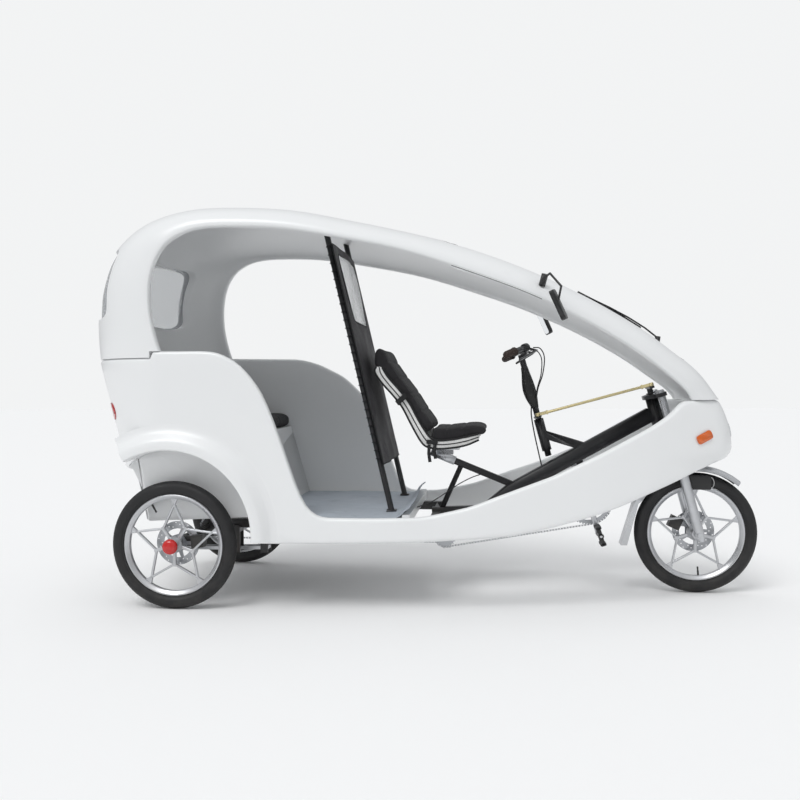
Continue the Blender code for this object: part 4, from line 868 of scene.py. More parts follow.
def brake_disc(name, at, middle, body, replaced):
    """A disc whose middle plane lies middle to the side of the wheel's centre."""
    ring = box_outline(DISC_INNER, middle - DISC_THICK / 2, DISC_OUTER, middle + DISC_THICK / 2)
    disc = raw_mesh(name, *turned(ring, at, 96))
    tidy_mesh(disc.data)
    low, high = at[1] + middle - CUT_REACH, at[1] + middle + CUT_REACH
    tools = []
    for k in range(5):
        spots = [wheel_spot(at, r, 72 * k + d) for r, d in DISC_WINDOW]
        tools.append(slab([(p[0], p[2]) for p in spots], low, high))
    for k in range(DISC_HOLES):
        spot = wheel_spot(at, 0.068 + 0.008 * (k % 3), 360 / DISC_HOLES * k)
        tools.append(rod((spot[0], low, spot[2]), (spot[0], high, spot[2]), HOLE_R, 10))
    cut(disc, joined(tools))
    return dress(disc, body, "steel", None, 30.0, [replaced])


brake_disc("front_disc_drilled", (WHEELBASE, 0.0, WHEEL_R), 0.0395, "front_wheel", "front_disc")
brake_disc("rear_disc_right_drilled", (0.0, -TRACK / 2, WHEEL_R), 0.040, "rear_right_wheel", "rear_disc_right")
brake_disc("rear_disc_left_drilled", (0.0, TRACK / 2, WHEEL_R), -0.040, "rear_left_wheel", "rear_disc_left")

CAP = [(0, 0.0290), (0.06, 0.0305), (0.20, 0.0312), (0.48, 0.0300), (0.70, 0.0268), (0.84, 0.0222), (0.92, 0.0170),
       (0.93, 0.0120), (0.97, 0.0105), (1.0, 0.0070)]
for side, way in (("right", -1), ("left", 1)):
    start, end = ((0.0, way * (TRACK / 2 + d), WHEEL_R) for d in (0.0463, 0.0735))
    build(f"hub_cap_{side}_turned", [barrel(CAP, start, end, 48)], f"rear_{side}_wheel", "cap_red", crease=50.0,
          nodes=[f"hub_cap_{side}"])
print("wheels done")

# %% [markdown]
# The pads are sewn cloth over foam. Each starts as its solid's form, is remeshed to even quads, and is blown up
# a little as cloth with pressure, so it crowns between its edges. A cap keeps every point near its solid. Sewn
# channels are pressed in afterwards, because remeshing would erase them, and piping is swept along the edges.

# %% Padded pieces
SIM_FRAMES, PAD_PRESSURE = 20, 4.0
BENCH_VOXEL, BENCH_CAP, BENCH_CHANNEL = 0.009, 0.007, (0.0045, 0.006)
SEAT_VOXEL, SEAT_CAP, SEAT_CHANNEL = 0.0065, 0.005, (0.004, 0.0045)


def vertex_places(made):
    return np.array([v.co for v in made.data.vertices])


def move_vertices(made, places):
    made.data.vertices.foreach_set("co", places.astype(np.float32).ravel())
    made.data.update()


def puffed(made, voxel, cap):
    """Swells a closed mesh as pressurised cloth, each point moving no further than cap."""
    block = made.modifiers.new("even", "REMESH")
    block.mode, block.voxel_size, block.use_smooth_shade = "VOXEL", voxel, True
    settle(made)
    scene = bpy.context.scene
    rest = vertex_places(made)
    cloth = made.modifiers.new("cloth", "CLOTH")
    cloth.settings.use_pressure = True
    cloth.settings.uniform_pressure_force = PAD_PRESSURE
    cloth.settings.effector_weights.gravity = 0.0
    cloth.settings.tension_stiffness = cloth.settings.compression_stiffness = 12.0
    cloth.settings.bending_stiffness = 0.6
    cloth.settings.quality = 5
    cloth.point_cache.frame_start, cloth.point_cache.frame_end = 1, SIM_FRAMES
    for number in range(1, SIM_FRAMES + 1):
        scene.frame_set(number)
    settle(made)
    scene.frame_set(1)
    move = vertex_places(made) - rest
    length = np.linalg.norm(move, axis=1)[:, None]
    move *= np.minimum(1.0, cap / np.maximum(length, 1e-9))
    move_vertices(made, rest + move)
    return made


def eased(made, rounds):
    """Rounds off the remeshed edges."""
    soft = made.modifiers.new("ease", "SMOOTH")
    soft.iterations, soft.factor = rounds, 0.5
    return settle(made)


def pressed(made, lines, depth, width):
    """Sewn channels: each line is (point, direction across it) in the design's own places."""
    co = vertex_places(made)
    normal = np.array([v.normal for v in made.data.vertices])
    for point, across in lines:
        off = (co - np.array(to_world(point))) @ np.array(Vector(across).normalized())
        co -= normal * (depth * np.exp(-((off / width) ** 2)))[:, None]
    move_vertices(made, co)
    return made


def pad_from_node(name, source, scale):
    """A bench pad that starts from its solid, made a little smaller."""
    made = linked(name, frame["nodes"][source].data.copy())
    tidy_mesh(made.data)
    co = vertex_places(made)
    middle = (co.max(0) + co.min(0)) / 2
    move_vertices(made, middle + (co - middle) * np.array(scale))
    return eased(puffed(made, BENCH_VOXEL, BENCH_CAP), 4)


def finish_pad(made, node_name):
    rounder = made.modifiers.new("finer", "SUBSURF")
    rounder.levels = rounder.render_levels = 1
    settle(made)
    dress(made, "chassis", "cushion_black", None, 180.0, [node_name])
    return made


bench = pad_from_node("bench_cushion", "passenger_cushion", (0.992, 0.992, 0.86))
pressed(bench, [((0.0, y, 0.75), (0, 1, 0)) for y in (-0.225, 0.0, 0.225)] + [((0.02, 0.0, 0.75), (1, 0, 0))],
        *BENCH_CHANNEL)
finish_pad(bench, "passenger_cushion")
rest_pad = pad_from_node("bench_back", "passenger_backrest", (0.96, 0.992, 0.99))
pressed(rest_pad, [((-0.2, y, 0.9), (0, 1, 0)) for y in (-0.176, 0.0, 0.176)], *BENCH_CHANNEL)
finish_pad(rest_pad, "passenger_backrest")

# Seat outlines seen from the side.
SHELL_BACK = [(0.796, 0.985), (0.790, 0.962), (0.820, 0.915), (0.862, 0.868), (0.906, 0.812), (0.946, 0.735),
              (0.984, 0.668), (1.012, 0.642), (1.060, 0.634), (1.120, 0.638), (1.180, 0.650), (1.232, 0.672)]
SHELL_FRONT = [(1.228, 0.696), (1.175, 0.684), (1.118, 0.673), (1.065, 0.669), (1.034, 0.676), (1.012, 0.698),
               (0.975, 0.757), (0.935, 0.832), (0.888, 0.892), (0.846, 0.940), (0.822, 0.980)]
BACK_PAD = [
    (1.0064, 0.7079), (0.9754, 0.7573), (0.9354, 0.8323), (0.8884, 0.8923), (0.8464, 0.9403), (0.8224, 0.9803),
    (0.794, 0.990), (0.786, 1.020), (0.790, 1.050), (0.806, 1.062), (0.826, 1.046), (0.852, 0.998), (0.895, 0.937),
    (0.942, 0.874), (0.985, 0.805), (1.030, 0.738), (1.026, 0.716),
]
PAN_PAD = [
    (1.0304, 0.6804), (1.0345, 0.6764), (1.0653, 0.6694), (1.118, 0.6734), (1.175, 0.6844), (1.228, 0.6964),
    (1.252, 0.698), (1.262, 0.710), (1.254, 0.724), (1.215, 0.729), (1.150, 0.724), (1.085, 0.718), (1.044, 0.719),
    (1.034, 0.710),
]
SEAT_HALF, SEAT_GROWTH = 0.20, 1.03


def seat_pad(name, outline, node_name, channels):
    line = smooth(outline + outline[:1], 90)[:-1]
    middle = line.mean(axis=0)
    line = middle + (line - middle) * SEAT_GROWTH
    stations = [(-SEAT_HALF + 0.004, 0.90), (-SEAT_HALF + 0.012, 0.98), (-SEAT_HALF + 0.03, 1.0),
                (SEAT_HALF - 0.03, 1.0), (SEAT_HALF - 0.012, 0.98), (SEAT_HALF - 0.004, 0.90)]
    part = loft([[(middle[0] + (a - middle[0]) * f, y, middle[1] + (b - middle[1]) * f) for a, b in line]
                 for y, f in stations])
    made = raw_mesh(name, *part)
    tidy_mesh(made.data)
    puffed(made, SEAT_VOXEL, SEAT_CAP)
    pressed(eased(made, 1), channels, *SEAT_CHANNEL)
    return finish_pad(made, node_name)


back_lines = [((x, 0, z), (-0.55, 0, 0.83)) for x, z in ((0.985, 0.79), (0.93, 0.86), (0.88, 0.93), (0.84, 1.0))]
back_lines += [((0.9, y, 0.9), (0, 1, 0)) for y in (-0.13, 0.13)]
pan_lines = [((x, 0, 0.72), (1, 0, 0)) for x in (1.10, 1.17)] + [((1.1, y, 0.7), (0, 1, 0)) for y in (-0.13, 0.13)]
seat_pad("rider_back_pad", BACK_PAD, "rider_seat_back", back_lines)
seat_pad("rider_pan_pad", PAN_PAD, "rider_seat_pan", pan_lines)
shell_line = [tuple(p) for p in smooth(SHELL_BACK, 60)] + [tuple(p) for p in smooth(SHELL_FRONT, 50)]
build("rider_seat_shell_band", [slab(shell_line, -SEAT_HALF, SEAT_HALF)], "chassis", "body_white",
      EXTRA["piping_white"], 40.0, ["rider_seat_shell"], bevel=0.003)
piping = []
for side in (-SEAT_HALF, SEAT_HALF):
    for edge in (SHELL_BACK, SHELL_FRONT):
        piping.append(tube([(x, side, z) for x, z in smooth(edge, 44)], round_section(0.0042, 10)))
middle_band = [((a[0] + b[0]) / 2, (a[1] + b[1]) / 2) for a, b in zip(smooth(SHELL_BACK, 44),
                                                                      smooth(SHELL_FRONT, 44)[::-1])]
for side in (-1, 1):
    piping.append(tube([(x, side * (SEAT_HALF + 0.0006), z) for x, z in middle_band],
                       soft_box(0.0026, 0.0046, 0.001)))
build("rider_seat_piping", piping, "chassis", "cushion_black", EXTRA["webbing"], 50.0)

straps = [tube([(0.887, 0.214, 0.830), (0.887, -0.214, 0.830)], soft_box(0.005, 0.024, 0.002, 3), side=(1, 0, 0.6))]
for side in (-0.2135, 0.2135):
    straps.append(tube([(0.885, side, 0.828), (0.926, side, 0.864)], soft_box(0.004, 0.022, 0.0015, 3)))
for side in (-0.204, 0.204):
    for x, drop in ((1.022, 0.074), (1.046, 0.060)):
        straps.append(tube([(x, side, 0.652), (x - 0.002, side * 1.015, 0.652 - drop * 0.5),
                            (x + 0.003, side * 1.02, 0.652 - drop)], soft_box(0.003, 0.014, 0.0012, 3)))
        straps.append(slab(rounded(box_outline(x - 0.012, 0.655, x + 0.012, 0.672), 0.004), side - 0.0045,
                           side + 0.0045))
build("rider_seat_straps", straps, "chassis", "cushion_black", EXTRA["webbing"], 40.0)
print("pads done")

# %% [markdown]
# The divider is coated fabric laced to its posts, with a clear window sewn in. The fabric is a thin closed
# sheet that ripples forward a little between the posts. Lacing loops repeat along each post, so a node tree
# puts one ring at every step of the post's line.

# %% Divider
FLOOR_TOP = 0.370
FOOT_X, FOOT_Z, TOP_X, TOP_Z = 0.868, FLOOR_TOP + 0.0068, 0.585, 1.60
SLOPE = (TOP_X - FOOT_X) / (TOP_Z - FOOT_Z)
POST_R = 0.0125
SHEET_REAR = (POST_R + 0.0004) / math.cos(math.atan(SLOPE))
COVER_LOW, COVER_HIGH, COVER_HALF = 0.575, 1.50, 0.285
VIEW_LOW, VIEW_HIGH, VIEW_HALF, VIEW_ROUND = 1.18, 1.47, 0.20, 0.03
COVER_THICK, PANE_THICK, POST_SIDE = 0.0016, 0.0008, 0.27


def post_x(z):
    return FOOT_X + SLOPE * (z - FOOT_Z)


def ripple(y, z):
    edge = max(0.0, 1 - (y / COVER_HALF) ** 4)
    folds = 0.0035 * math.sin(7.0 * y + 9.0 * z) + 0.0022 * math.sin(23.0 * y - 17.0 * z + 1.3)
    slack = 0.004 * math.exp(-((z - 0.60) / 0.06) ** 2) * (1 + math.sin(31.0 * y))
    return edge * (0.006 + folds + slack)


def rippled_sheet(low, high, half, rear, thick, rows, cols):
    layers = []
    for depth in (0.0, thick):
        layers.append([[(post_x(z) + rear + ripple(y, z) + depth, y, z) for y in np.linspace(-half, half, cols)]
                       for z in np.linspace(low, high, rows)])
    return loft([list(back) + list(reversed(front)) for back, front in zip(*layers)])


def on_cover(y, z):
    """A place on the fabric's middle."""
    return Vector((post_x(z) + SHEET_REAR + ripple(y, z) + COVER_THICK / 2, y, z))


cover = raw_mesh("divider_fabric", *rippled_sheet(COVER_LOW, COVER_HIGH, COVER_HALF, SHEET_REAR, COVER_THICK, 90, 56))
tidy_mesh(cover.data)
view_outline = box_outline(-VIEW_HALF, VIEW_LOW, VIEW_HALF, VIEW_HIGH)
cut(cover, slab(rounded(view_outline, VIEW_ROUND, 8), 0.2, 1.2, "x"))
dress(cover, "chassis", "cover_black", None, 60.0, ["divider_cover"])
clear = raw_mesh("divider_pane", *rippled_sheet(1.1, 1.5, 0.25, SHEET_REAR + 0.0004, PANE_THICK, 40, 40))
tidy_mesh(clear.data)
cut(clear, slab(rounded(shrunk(view_outline, 0.0006), VIEW_ROUND, 8), 0.2, 1.2, "x"), "INTERSECT")
dress(clear, "chassis", "clear_sheet", None, 60.0, ["divider_window"])
hem = even([on_cover(y, z) for y, z in rounded(view_outline, VIEW_ROUND, 8)], 140)
build("divider_window_hem", [loop_tube(hem, 0.0032, 8)], "chassis", "cover_black", EXTRA["webbing"], 60.0)
rim_line = [on_cover(y, z) for y, z in
            [(-COVER_HALF, z) for z in np.linspace(COVER_LOW, COVER_HIGH, 40)]
            + [(y, COVER_HIGH) for y in np.linspace(-COVER_HALF, COVER_HALF, 30)]
            + [(COVER_HALF, z) for z in np.linspace(COVER_HIGH, COVER_LOW, 40)]
            + [(y, COVER_LOW) for y in np.linspace(COVER_HALF, -COVER_HALF, 30)]]
build("divider_edge_binding", [loop_tube(even(rim_line, 260), 0.0028, 8)], "chassis", "cover_black",
      EXTRA["webbing"], 60.0)


def repeat_tree(name, sockets):
    """The start of a repeating node tree, with the identifiers of its own inputs."""
    tree = bpy.data.node_groups.new(name, "GeometryNodeTree")
    tree.interface.new_socket(name="Geometry", in_out="INPUT", socket_type="NodeSocketGeometry")
    ids = {}
    for label, kind, value in sockets:
        socket = tree.interface.new_socket(name=label, in_out="INPUT", socket_type=kind)
        if value is not None:
            socket.default_value = value
        ids[label] = socket.identifier
    tree.interface.new_socket(name="Geometry", in_out="OUTPUT", socket_type="NodeSocketGeometry")
    start, end = tree.nodes.new("NodeGroupInput"), tree.nodes.new("NodeGroupOutput")
    return tree, start, end, ids


def close_tree(tree, end, geometry, material):
    """The end of a repeating node tree: real geometry with its material."""
    real = node(tree, "GeometryNodeRealizeInstances", [(0, geometry)])
    painted = node(tree, "GeometryNodeSetMaterial", [(0, real.outputs[0])])
    tree.links.new(material, painted.inputs["Material"])
    tree.links.new(painted.outputs[0], end.inputs[0])


def spaced_tree():
    """One of a given solid at even steps along a line, turned to the line's direction."""
    tree, start, end, ids = repeat_tree("spaced_along", [
        ("Item", "NodeSocketObject", None), ("Spacing", FLOAT, 0.05), ("Material", "NodeSocketMaterial", None)])
    line = node(tree, "GeometryNodeMeshToCurve", [(0, start.outputs["Geometry"])])
    even_line = node(tree, "GeometryNodeResampleCurve", [("Curve", line.outputs[0])], mode="LENGTH")
    tree.links.new(start.outputs["Spacing"], even_line.inputs["Length"])
    points = node(tree, "GeometryNodeCurveToPoints", [(0, even_line.outputs[0])], mode="EVALUATED")
    item = node(tree, "GeometryNodeObjectInfo", [("Object", start.outputs["Item"])])
    placed = node(tree, "GeometryNodeInstanceOnPoints", [("Points", points.outputs["Points"]),
                                                         ("Instance", item.outputs["Geometry"]),
                                                         ("Rotation", points.outputs["Rotation"])])
    close_tree(tree, end, placed.outputs[0], start.outputs["Material"])
    return tree, ids


SPACED = spaced_tree()


def repeated(made, tree_and_ids, **values):
    """Runs a repeating node tree on the object."""
    repeat = made.modifiers.new("repeat", "NODES")
    repeat.node_group, ids = tree_and_ids
    for label, value in values.items():
        repeat[ids[label]] = value
    return settle(made)


def along(name, path, item, spacing, body, slot, material=None, nodes=()):
    """The item repeated along a path. The item's z axis follows the path."""
    made = raw_mesh(name, path, [], [(i, i + 1) for i in range(len(path) - 1)])
    repeated(made, SPACED, Item=item, Spacing=spacing, Material=material or FINISH[slot])
    return dress(made, body, slot, material, 40.0, nodes)


def item_mesh(name, parts):
    """A small solid about its own origin, for repeating."""
    corners, faces = joined(parts)
    mesh = bpy.data.meshes.new(name)
    mesh.from_pydata([tuple(c) for c in corners], [], [tuple(f) for f in faces])
    made = linked(name, mesh)
    tidy_mesh(made.data)
    return made


def ring_item(name, radius, wire, steps=20):
    circle = [Vector((radius * math.cos(a), radius * math.sin(a), 0)) for a in
              np.linspace(0, 2 * math.pi, steps, endpoint=False)]
    return item_mesh(name, [loop_tube(circle, wire, 6)])


lace = ring_item("lace_ring", POST_R + 0.0022, 0.0018)
for side, way in (("right", -1), ("left", 1)):
    along(f"divider_lacing_{side}", [(post_x(z), way * POST_SIDE, z) for z in (0.60, 1.49)], lace, 0.034, "chassis",
          "cover_black", EXTRA["webbing"])
bpy.data.objects.remove(lace)
print("divider done")

# %% [markdown]
# The floor mat is a loose sheet of soft vinyl. It lies on the floor pan with low wrinkles and turns up at its
# front edge, so it is a wavy grid with a thin edge, curled at the front.

# %% Floor mat
MAT_BACK, MAT_FRONT, MAT_HALF, MAT_THICK = 0.364, 0.924, 0.437, 0.0028
CURL_LENGTH = 0.075


def mat_place(along_x, y):
    """Height and place of the mat's underside, a given length from its back edge."""
    flat = MAT_FRONT - MAT_BACK - 0.03
    fade = min(1.0, along_x / 0.05) * min(1.0, (MAT_HALF - abs(y)) / 0.05 + 0.25)
    wave = 0.0022 * (1 + math.sin(19 * along_x + 3.0 * math.sin(5.0 * y)))
    wave += 0.0012 * (1 + math.sin(47 * along_x - 23 * y)) + 0.0008 * (1 + math.sin(71 * y + 13 * along_x))
    base = FLOOR_TOP + 0.0006 + fade * wave
    if along_x <= flat:
        return MAT_BACK + along_x, base
    t = along_x - flat
    turn = min(t / 0.05, 1.0) * math.radians(58 + 10 * math.sin(6 * y))
    return MAT_BACK + flat + t * math.cos(turn * 0.55), base + t * math.sin(turn * 0.62)


mat_rows = np.linspace(0, MAT_FRONT - MAT_BACK - 0.03 + CURL_LENGTH, 110)
mat_cols = np.linspace(-MAT_HALF, MAT_HALF, 100)
sections = []
for row in mat_rows:
    low = [(mat_place(row, y)[0], y, mat_place(row, y)[1]) for y in mat_cols]
    sections.append(low + [(x, y, z + MAT_THICK) for x, y, z in reversed(low)])
mat = build("floor_mat_laid", [loft(sections)], "chassis", "mat_grey", crease=50.0, nodes=["floor_mat"])
print("mat done")

# %% [markdown]
# A chain is one link pair repeated. A node tree resamples the chain's loop at every second pitch, puts an inner
# and an outer pair of side plates with their rollers at every step, and gives them their material. The
# sprockets are cut as toothed plates from the same pitch.

# %% Drive: chains, sprockets, cranks and pedals
CRANK_X, CRANK_Z, CRANK_LENGTH, CRANK_ANGLE = 1.70, 0.40, 0.142, math.radians(-73.0)
CHAIN_SIDE, CHAINRING_R = -0.05, 0.1025
JACK_X, JACK_Z, JACK_R, JACK_REAR_R = 1.08, 0.235, 0.045, 0.034
REAR_SPROCKET_R, PITCH = 0.05, 0.0127
PLATE_THICK, CRANK_SIDE, PEDAL_END = 0.0022, 0.077, 0.177
TOOTH = ((0.0, -0.0034), (0.20, -0.0026), (0.38, 0.0016), (0.5, 0.0030), (0.62, 0.0016), (0.80, -0.0026))
RING_WINDOW = ((0.036, 14), (0.036, 58), (0.084, 64), (0.084, 50), (0.084, 36), (0.084, 22), (0.084, 8))


def belt_path(a, ra, b, rb, side, count=220):
    """Places round the outside of two circles, as a chain lies on them."""
    (ax, az), (bx, bz) = a, b
    line = math.atan2(bz - az, bx - ax)
    lean = math.acos((ra - rb) / math.hypot(bx - ax, bz - az))
    places = []
    for t in np.linspace(line + lean, line + 2 * math.pi - lean, 60):
        places.append(Vector((ax + ra * math.cos(t), side, az + ra * math.sin(t))))
    for t in np.linspace(line - lean, line + lean, 60):
        places.append(Vector((bx + rb * math.cos(t), side, bz + rb * math.sin(t))))
    return even(places, count)


def link_plate(offset, start):
    """One side plate of a link, waisted between its two ends, lying along z."""
    outline = []
    for end, first in ((start, 180), (start + PITCH, 0)):
        for t in range(0, 181, 30):
            a = math.radians(first + t)
            outline.append((0.0036 * math.cos(a), end + 0.0036 * math.sin(a)))
        outline.append((0.0026 * (1 if end == start else -1), start + PITCH / 2))
    return slab(outline, offset - 0.0004, offset + 0.0004)


link_parts = []
for way in (-1, 1):
    link_parts.append(link_plate(way * 0.0026, -PITCH / 2))
    link_parts.append(link_plate(way * 0.0018, PITCH / 2))
for z in (-PITCH / 2, PITCH / 2):
    link_parts.append(rod((0, -0.0031, z), (0, 0.0031, z), 0.0021, 10))
link = item_mesh("chain_link", link_parts)
for name, spots in (("front_chain", ((JACK_X, JACK_Z), JACK_R, (CRANK_X, CRANK_Z), CHAINRING_R, CHAIN_SIDE)),
                    ("rear_chain", ((0.0, WHEEL_R), REAR_SPROCKET_R, (JACK_X, JACK_Z), JACK_REAR_R, 0.0))):
    loop = belt_path(*spots)
    length = sum((b - a).length for a, b in zip(loop, loop[1:] + loop[:1]))
    pairs = round(length / (2 * PITCH))
    along(name + "_links", list(loop) + [loop[0]], link, length / pairs * 0.99999, "chassis", "steel", nodes=[name])
bpy.data.objects.remove(link)


def toothed(x, z, pitch_radius, side):
    """A solid sprocket plate with one tooth to a link."""
    teeth = round(2 * math.pi * pitch_radius / PITCH)
    outline = []
    for k in range(teeth):
        for step, out_by in TOOTH:
            a = 2 * math.pi * (k + step) / teeth
            outline.append((x + (pitch_radius + out_by) * math.cos(a), z + (pitch_radius + out_by) * math.sin(a)))
    return slab(outline, side - PLATE_THICK / 2, side + PLATE_THICK / 2)


ring = raw_mesh("chainring_toothed", *toothed(CRANK_X, CRANK_Z, CHAINRING_R, CHAIN_SIDE))
tidy_mesh(ring.data)
windows = []
for k in range(5):
    fan = [wheel_spot((CRANK_X, 0.0, CRANK_Z), r, 72 * k + d) for r, d in RING_WINDOW]
    windows.append(slab([(p[0], p[2]) for p in fan], CHAIN_SIDE - CUT_REACH, CHAIN_SIDE + CUT_REACH))
cut(ring, joined(windows))
dress(ring, "crank", "silver", FINISH["steel"], 30.0)
reach = Vector((math.cos(CRANK_ANGLE), 0, math.sin(CRANK_ANGLE))) * CRANK_LENGTH
arms = [rod((CRANK_X, -0.085, CRANK_Z), (CRANK_X, 0.085, CRANK_Z), 0.0105, 24)]
for y, way in ((-CRANK_SIDE, 1), (CRANK_SIDE, -1)):
    hub = Vector((CRANK_X, y, CRANK_Z))
    end = hub + reach * way
    arms.append(tube([hub - reach * 0.04 * way, hub + reach * 0.5 * way, end + reach * 0.03 * way],
                     soft_box(0.0125, 0.024, 0.005)))
    arms.append(rod((hub.x, y - 0.0085, hub.z), (hub.x, y + 0.0085, hub.z), 0.0185, 32, 0.002))
    arms.append(rod((end.x, y - 0.0075, end.z), (end.x, y + 0.0075, end.z), 0.0135, 28, 0.002))
    arms.append(rod((end.x, y, end.z), (end.x, -way * PEDAL_END, end.z), 0.0055, 18))
for k in range(5):
    a = math.radians(72 * k)
    spot = (CRANK_X + 0.030 * math.cos(a), CRANK_Z + 0.030 * math.sin(a))
    arms.append(rod((spot[0], -0.0560, spot[1]), (spot[0], -0.0475, spot[1]), 0.0045, 12))
build("crank_arms", arms, "crank", "silver", crease=40.0, nodes=["crankset"])
cogs = [toothed(JACK_X, JACK_Z, JACK_R, CHAIN_SIDE), toothed(JACK_X, JACK_Z, JACK_REAR_R, 0.0),
        rod((JACK_X, -0.062, JACK_Z), (JACK_X, 0.042, JACK_Z), 0.0078, 24, 0.001)]
build("jackshaft_cogs", cogs, "chassis", "steel", nodes=["jackshaft"])


def pedal_part(way, side):
    """A cage pedal: two ribbed bars, end plates and a middle barrel, turned to the crank's angle."""
    hub = Vector((CRANK_X, 0, CRANK_Z)) + reach * way
    low, high = sorted((side * 0.0935, side * 0.1745))
    parts = [barrel([(0, 0.0115), (0.1, 0.0128), (0.5, 0.0105), (0.9, 0.0128), (1, 0.0115)],
                    (0, low, 0), (0, high, 0), 20)]
    for u in (-0.036, 0.036):
        parts.append(tube([(u, low, 0), (u, high, 0)], soft_box(0.011, 0.021, 0.0025), side=(1, 0, 0)))
        for y in np.linspace(low + 0.008, high - 0.008, 8):
            for v in (-0.0112, 0.0112):
                rib = box_outline(u - 0.0045, v - 0.001, u + 0.0045, v + 0.001)
                parts.append(slab(rib, y - 0.0018, y + 0.0018))
    for y in (low + 0.003, (low + high) / 2, high - 0.003):
        parts.append(tube([(-0.036, y, 0), (0.036, y, 0)], soft_box(0.006, 0.015, 0.002), side=(0, 1, 0)))
    turn = Matrix.Rotation(-CRANK_ANGLE, 3, "Y")
    return [([tuple(turn @ Vector(c) + Vector((hub.x, 0, hub.z))) for c in corners],
             faces) for corners, faces in parts]


for name, way, side in (("pedal_right", 1, -1), ("pedal_left", -1, 1)):
    build(name + "_cage", pedal_part(way, side), name, "plastic_black", crease=35.0, nodes=[name])
print("drive done")

# %% [markdown]
# The fork's legs are turned from one outline each, a bright tube above and a thicker slider below, held in two
# plates. The steering rod is a thin bar with a turned end and its nuts at each pivot.

# %% Fork, steering head and steering rod
ROD_SIDE, LEG_SIDE, LEG_AHEAD = -0.07, 0.075, 0.028
ROD_DOWN = (COLUMN_AT_ROD - HEAD_TOP).dot(STEER_DOWN)
ROD_HALF = 0.008
AXLE = Vector((WHEELBASE, 0.0, WHEEL_R))
AXLE_DOWN = (AXLE - HEAD_TOP).dot(STEER_DOWN)
LEG = [(0.0, 0.0140), (0.008, 0.0165), (0.42, 0.0165), (0.43, 0.0165), (0.431, 0.0200), (0.455, 0.0218),
       (0.470, 0.0205),
       (0.90, 0.0205), (0.93, 0.0200), (0.97, 0.0178), (1.0, 0.0120)]
legs = []
for side in (-LEG_SIDE, LEG_SIDE):
    legs.append(barrel(LEG, at_steer(-0.016, LEG_AHEAD, side), at_steer(AXLE_DOWN + 0.03, LEG_AHEAD, side), 40))
    legs.append(rod((WHEELBASE, side - 0.014, WHEEL_R), (WHEELBASE, side + 0.014, WHEEL_R), 0.0185, 28, 0.002))
    nut = side + math.copysign(0.017, side)
    legs.append(rod((WHEELBASE, nut - 0.004, WHEEL_R), (WHEELBASE, nut + 0.004, WHEEL_R), 0.0135, 6))
legs.append(rod((WHEELBASE, -0.10, WHEEL_R), (WHEELBASE, 0.10, WHEEL_R), 0.0106, 24, 0.001))
legs.append(slab(rounded(box_outline(WHEELBASE - 0.102, 0.276, WHEELBASE - 0.007, 0.312), 0.008), 0.0578, 0.0665))
build("fork_legs", legs, "fork", "silver", crease=40.0, nodes=["fork"])


def steer_plate(outline, levels):
    """An (ahead, side) outline square to the steering axis, lofted through the levels down it."""
    return loft([[tuple(at_steer(down, ahead, side)) for ahead, side in outline] for down in levels])


plate = rounded([(-0.040, -0.024), (0.004, -0.099), (0.050, -0.099), (0.050, 0.099), (0.004, 0.099), (-0.040, 0.024)],
                0.014, 6)
arm = rounded([(-0.016, 0.016), (0.016, 0.016), (0.010, ROD_SIDE - 0.010), (-0.010, ROD_SIDE - 0.010)], 0.006, 5)
ARM_TOP = ROD_DOWN + ROD_HALF + 0.0005
crown = [steer_plate(plate, (low, low + 0.002, high - 0.002, high)) for low, high in ((-0.004, 0.012),
                                                                                      (0.158, 0.178))]
crown.append(rod(at_steer(ROD_DOWN + 0.002), at_steer(0.17), 0.0124, 28))
crown.append(steer_plate(arm, (ARM_TOP, ARM_TOP + 0.008)))
crown.append(rod(at_steer(-0.012), at_steer(-0.004), 0.019, 6))
build("fork_crown", crown, "fork", "silver", FINISH["frame_black"], 35.0)
rod_a, rod_b = at_column(0.0, 0.0, ROD_SIDE), at_steer(ROD_DOWN, 0.0, ROD_SIDE)
link_parts = [rod(rod_a, rod_b, 0.006, 24)]
for at, other in ((rod_a, rod_b), (rod_b, rod_a)):
    toward = (other - at).normalized()
    link_parts.append(barrel([(0, 0.0085), (0.15, 0.0103), (0.85, 0.0103), (1, 0.0085)], at - STEER_DOWN * ROD_HALF,
                             at + STEER_DOWN * ROD_HALF, 28))
    link_parts.append(rod(at + toward * 0.009, at + toward * 0.036, 0.0078, 6))
    link_parts.append(rod(at + toward * 0.037, at + toward * 0.044, 0.0098, 6))
build("steering_rod_ends", link_parts, "steering_rod", "rod_zinc", crease=35.0, nodes=["steering_rod"])
print("fork done")

# %% [markdown]
# The front mudguard is turned again with more steps. Each mirror gets a glass face, found as the flat face of
# its own solid that looks back. The cables are free cords: each has a route on one smooth curve and a real
# diameter. The loom is the black sleeve that swells on the handlebar's column.

# %% Mudguard, mirrors, loom and cables
FENDER = [(0.268, -0.039), (0.2765, -0.0368), (0.283, -0.033), (0.288, -0.025), (0.2908, -0.013), (0.292, 0.0),
          (0.2908, 0.013), (0.288, 0.025), (0.283, 0.033), (0.2765, 0.0368), (0.268, 0.039), (0.267, 0.0365),
          (0.274, 0.0342), (0.2805, 0.0308), (0.2853, 0.023), (0.2878, 0.012), (0.289, 0.0), (0.2878, -0.012),
          (0.2853, -0.023), (0.2805, -0.0308), (0.274, -0.0342), (0.267, -0.0365)]
lug_at = at_steer(0.37, LEG_AHEAD)
lug = rounded(box_outline(lug_at.x - 0.012, lug_at.z - 0.012, lug_at.x + 0.012, lug_at.z + 0.012), 0.004)
lugs = [slab(lug, *sorted((side * 0.0335, side * 0.0541))) for side in (-1, 1)]
build("mudguard_turned", [turned(FENDER, (WHEELBASE, 0.0, WHEEL_R), 56, 50, 149)] + lugs, "fork", "silver",
      crease=50.0, nodes=["front_mudguard"])


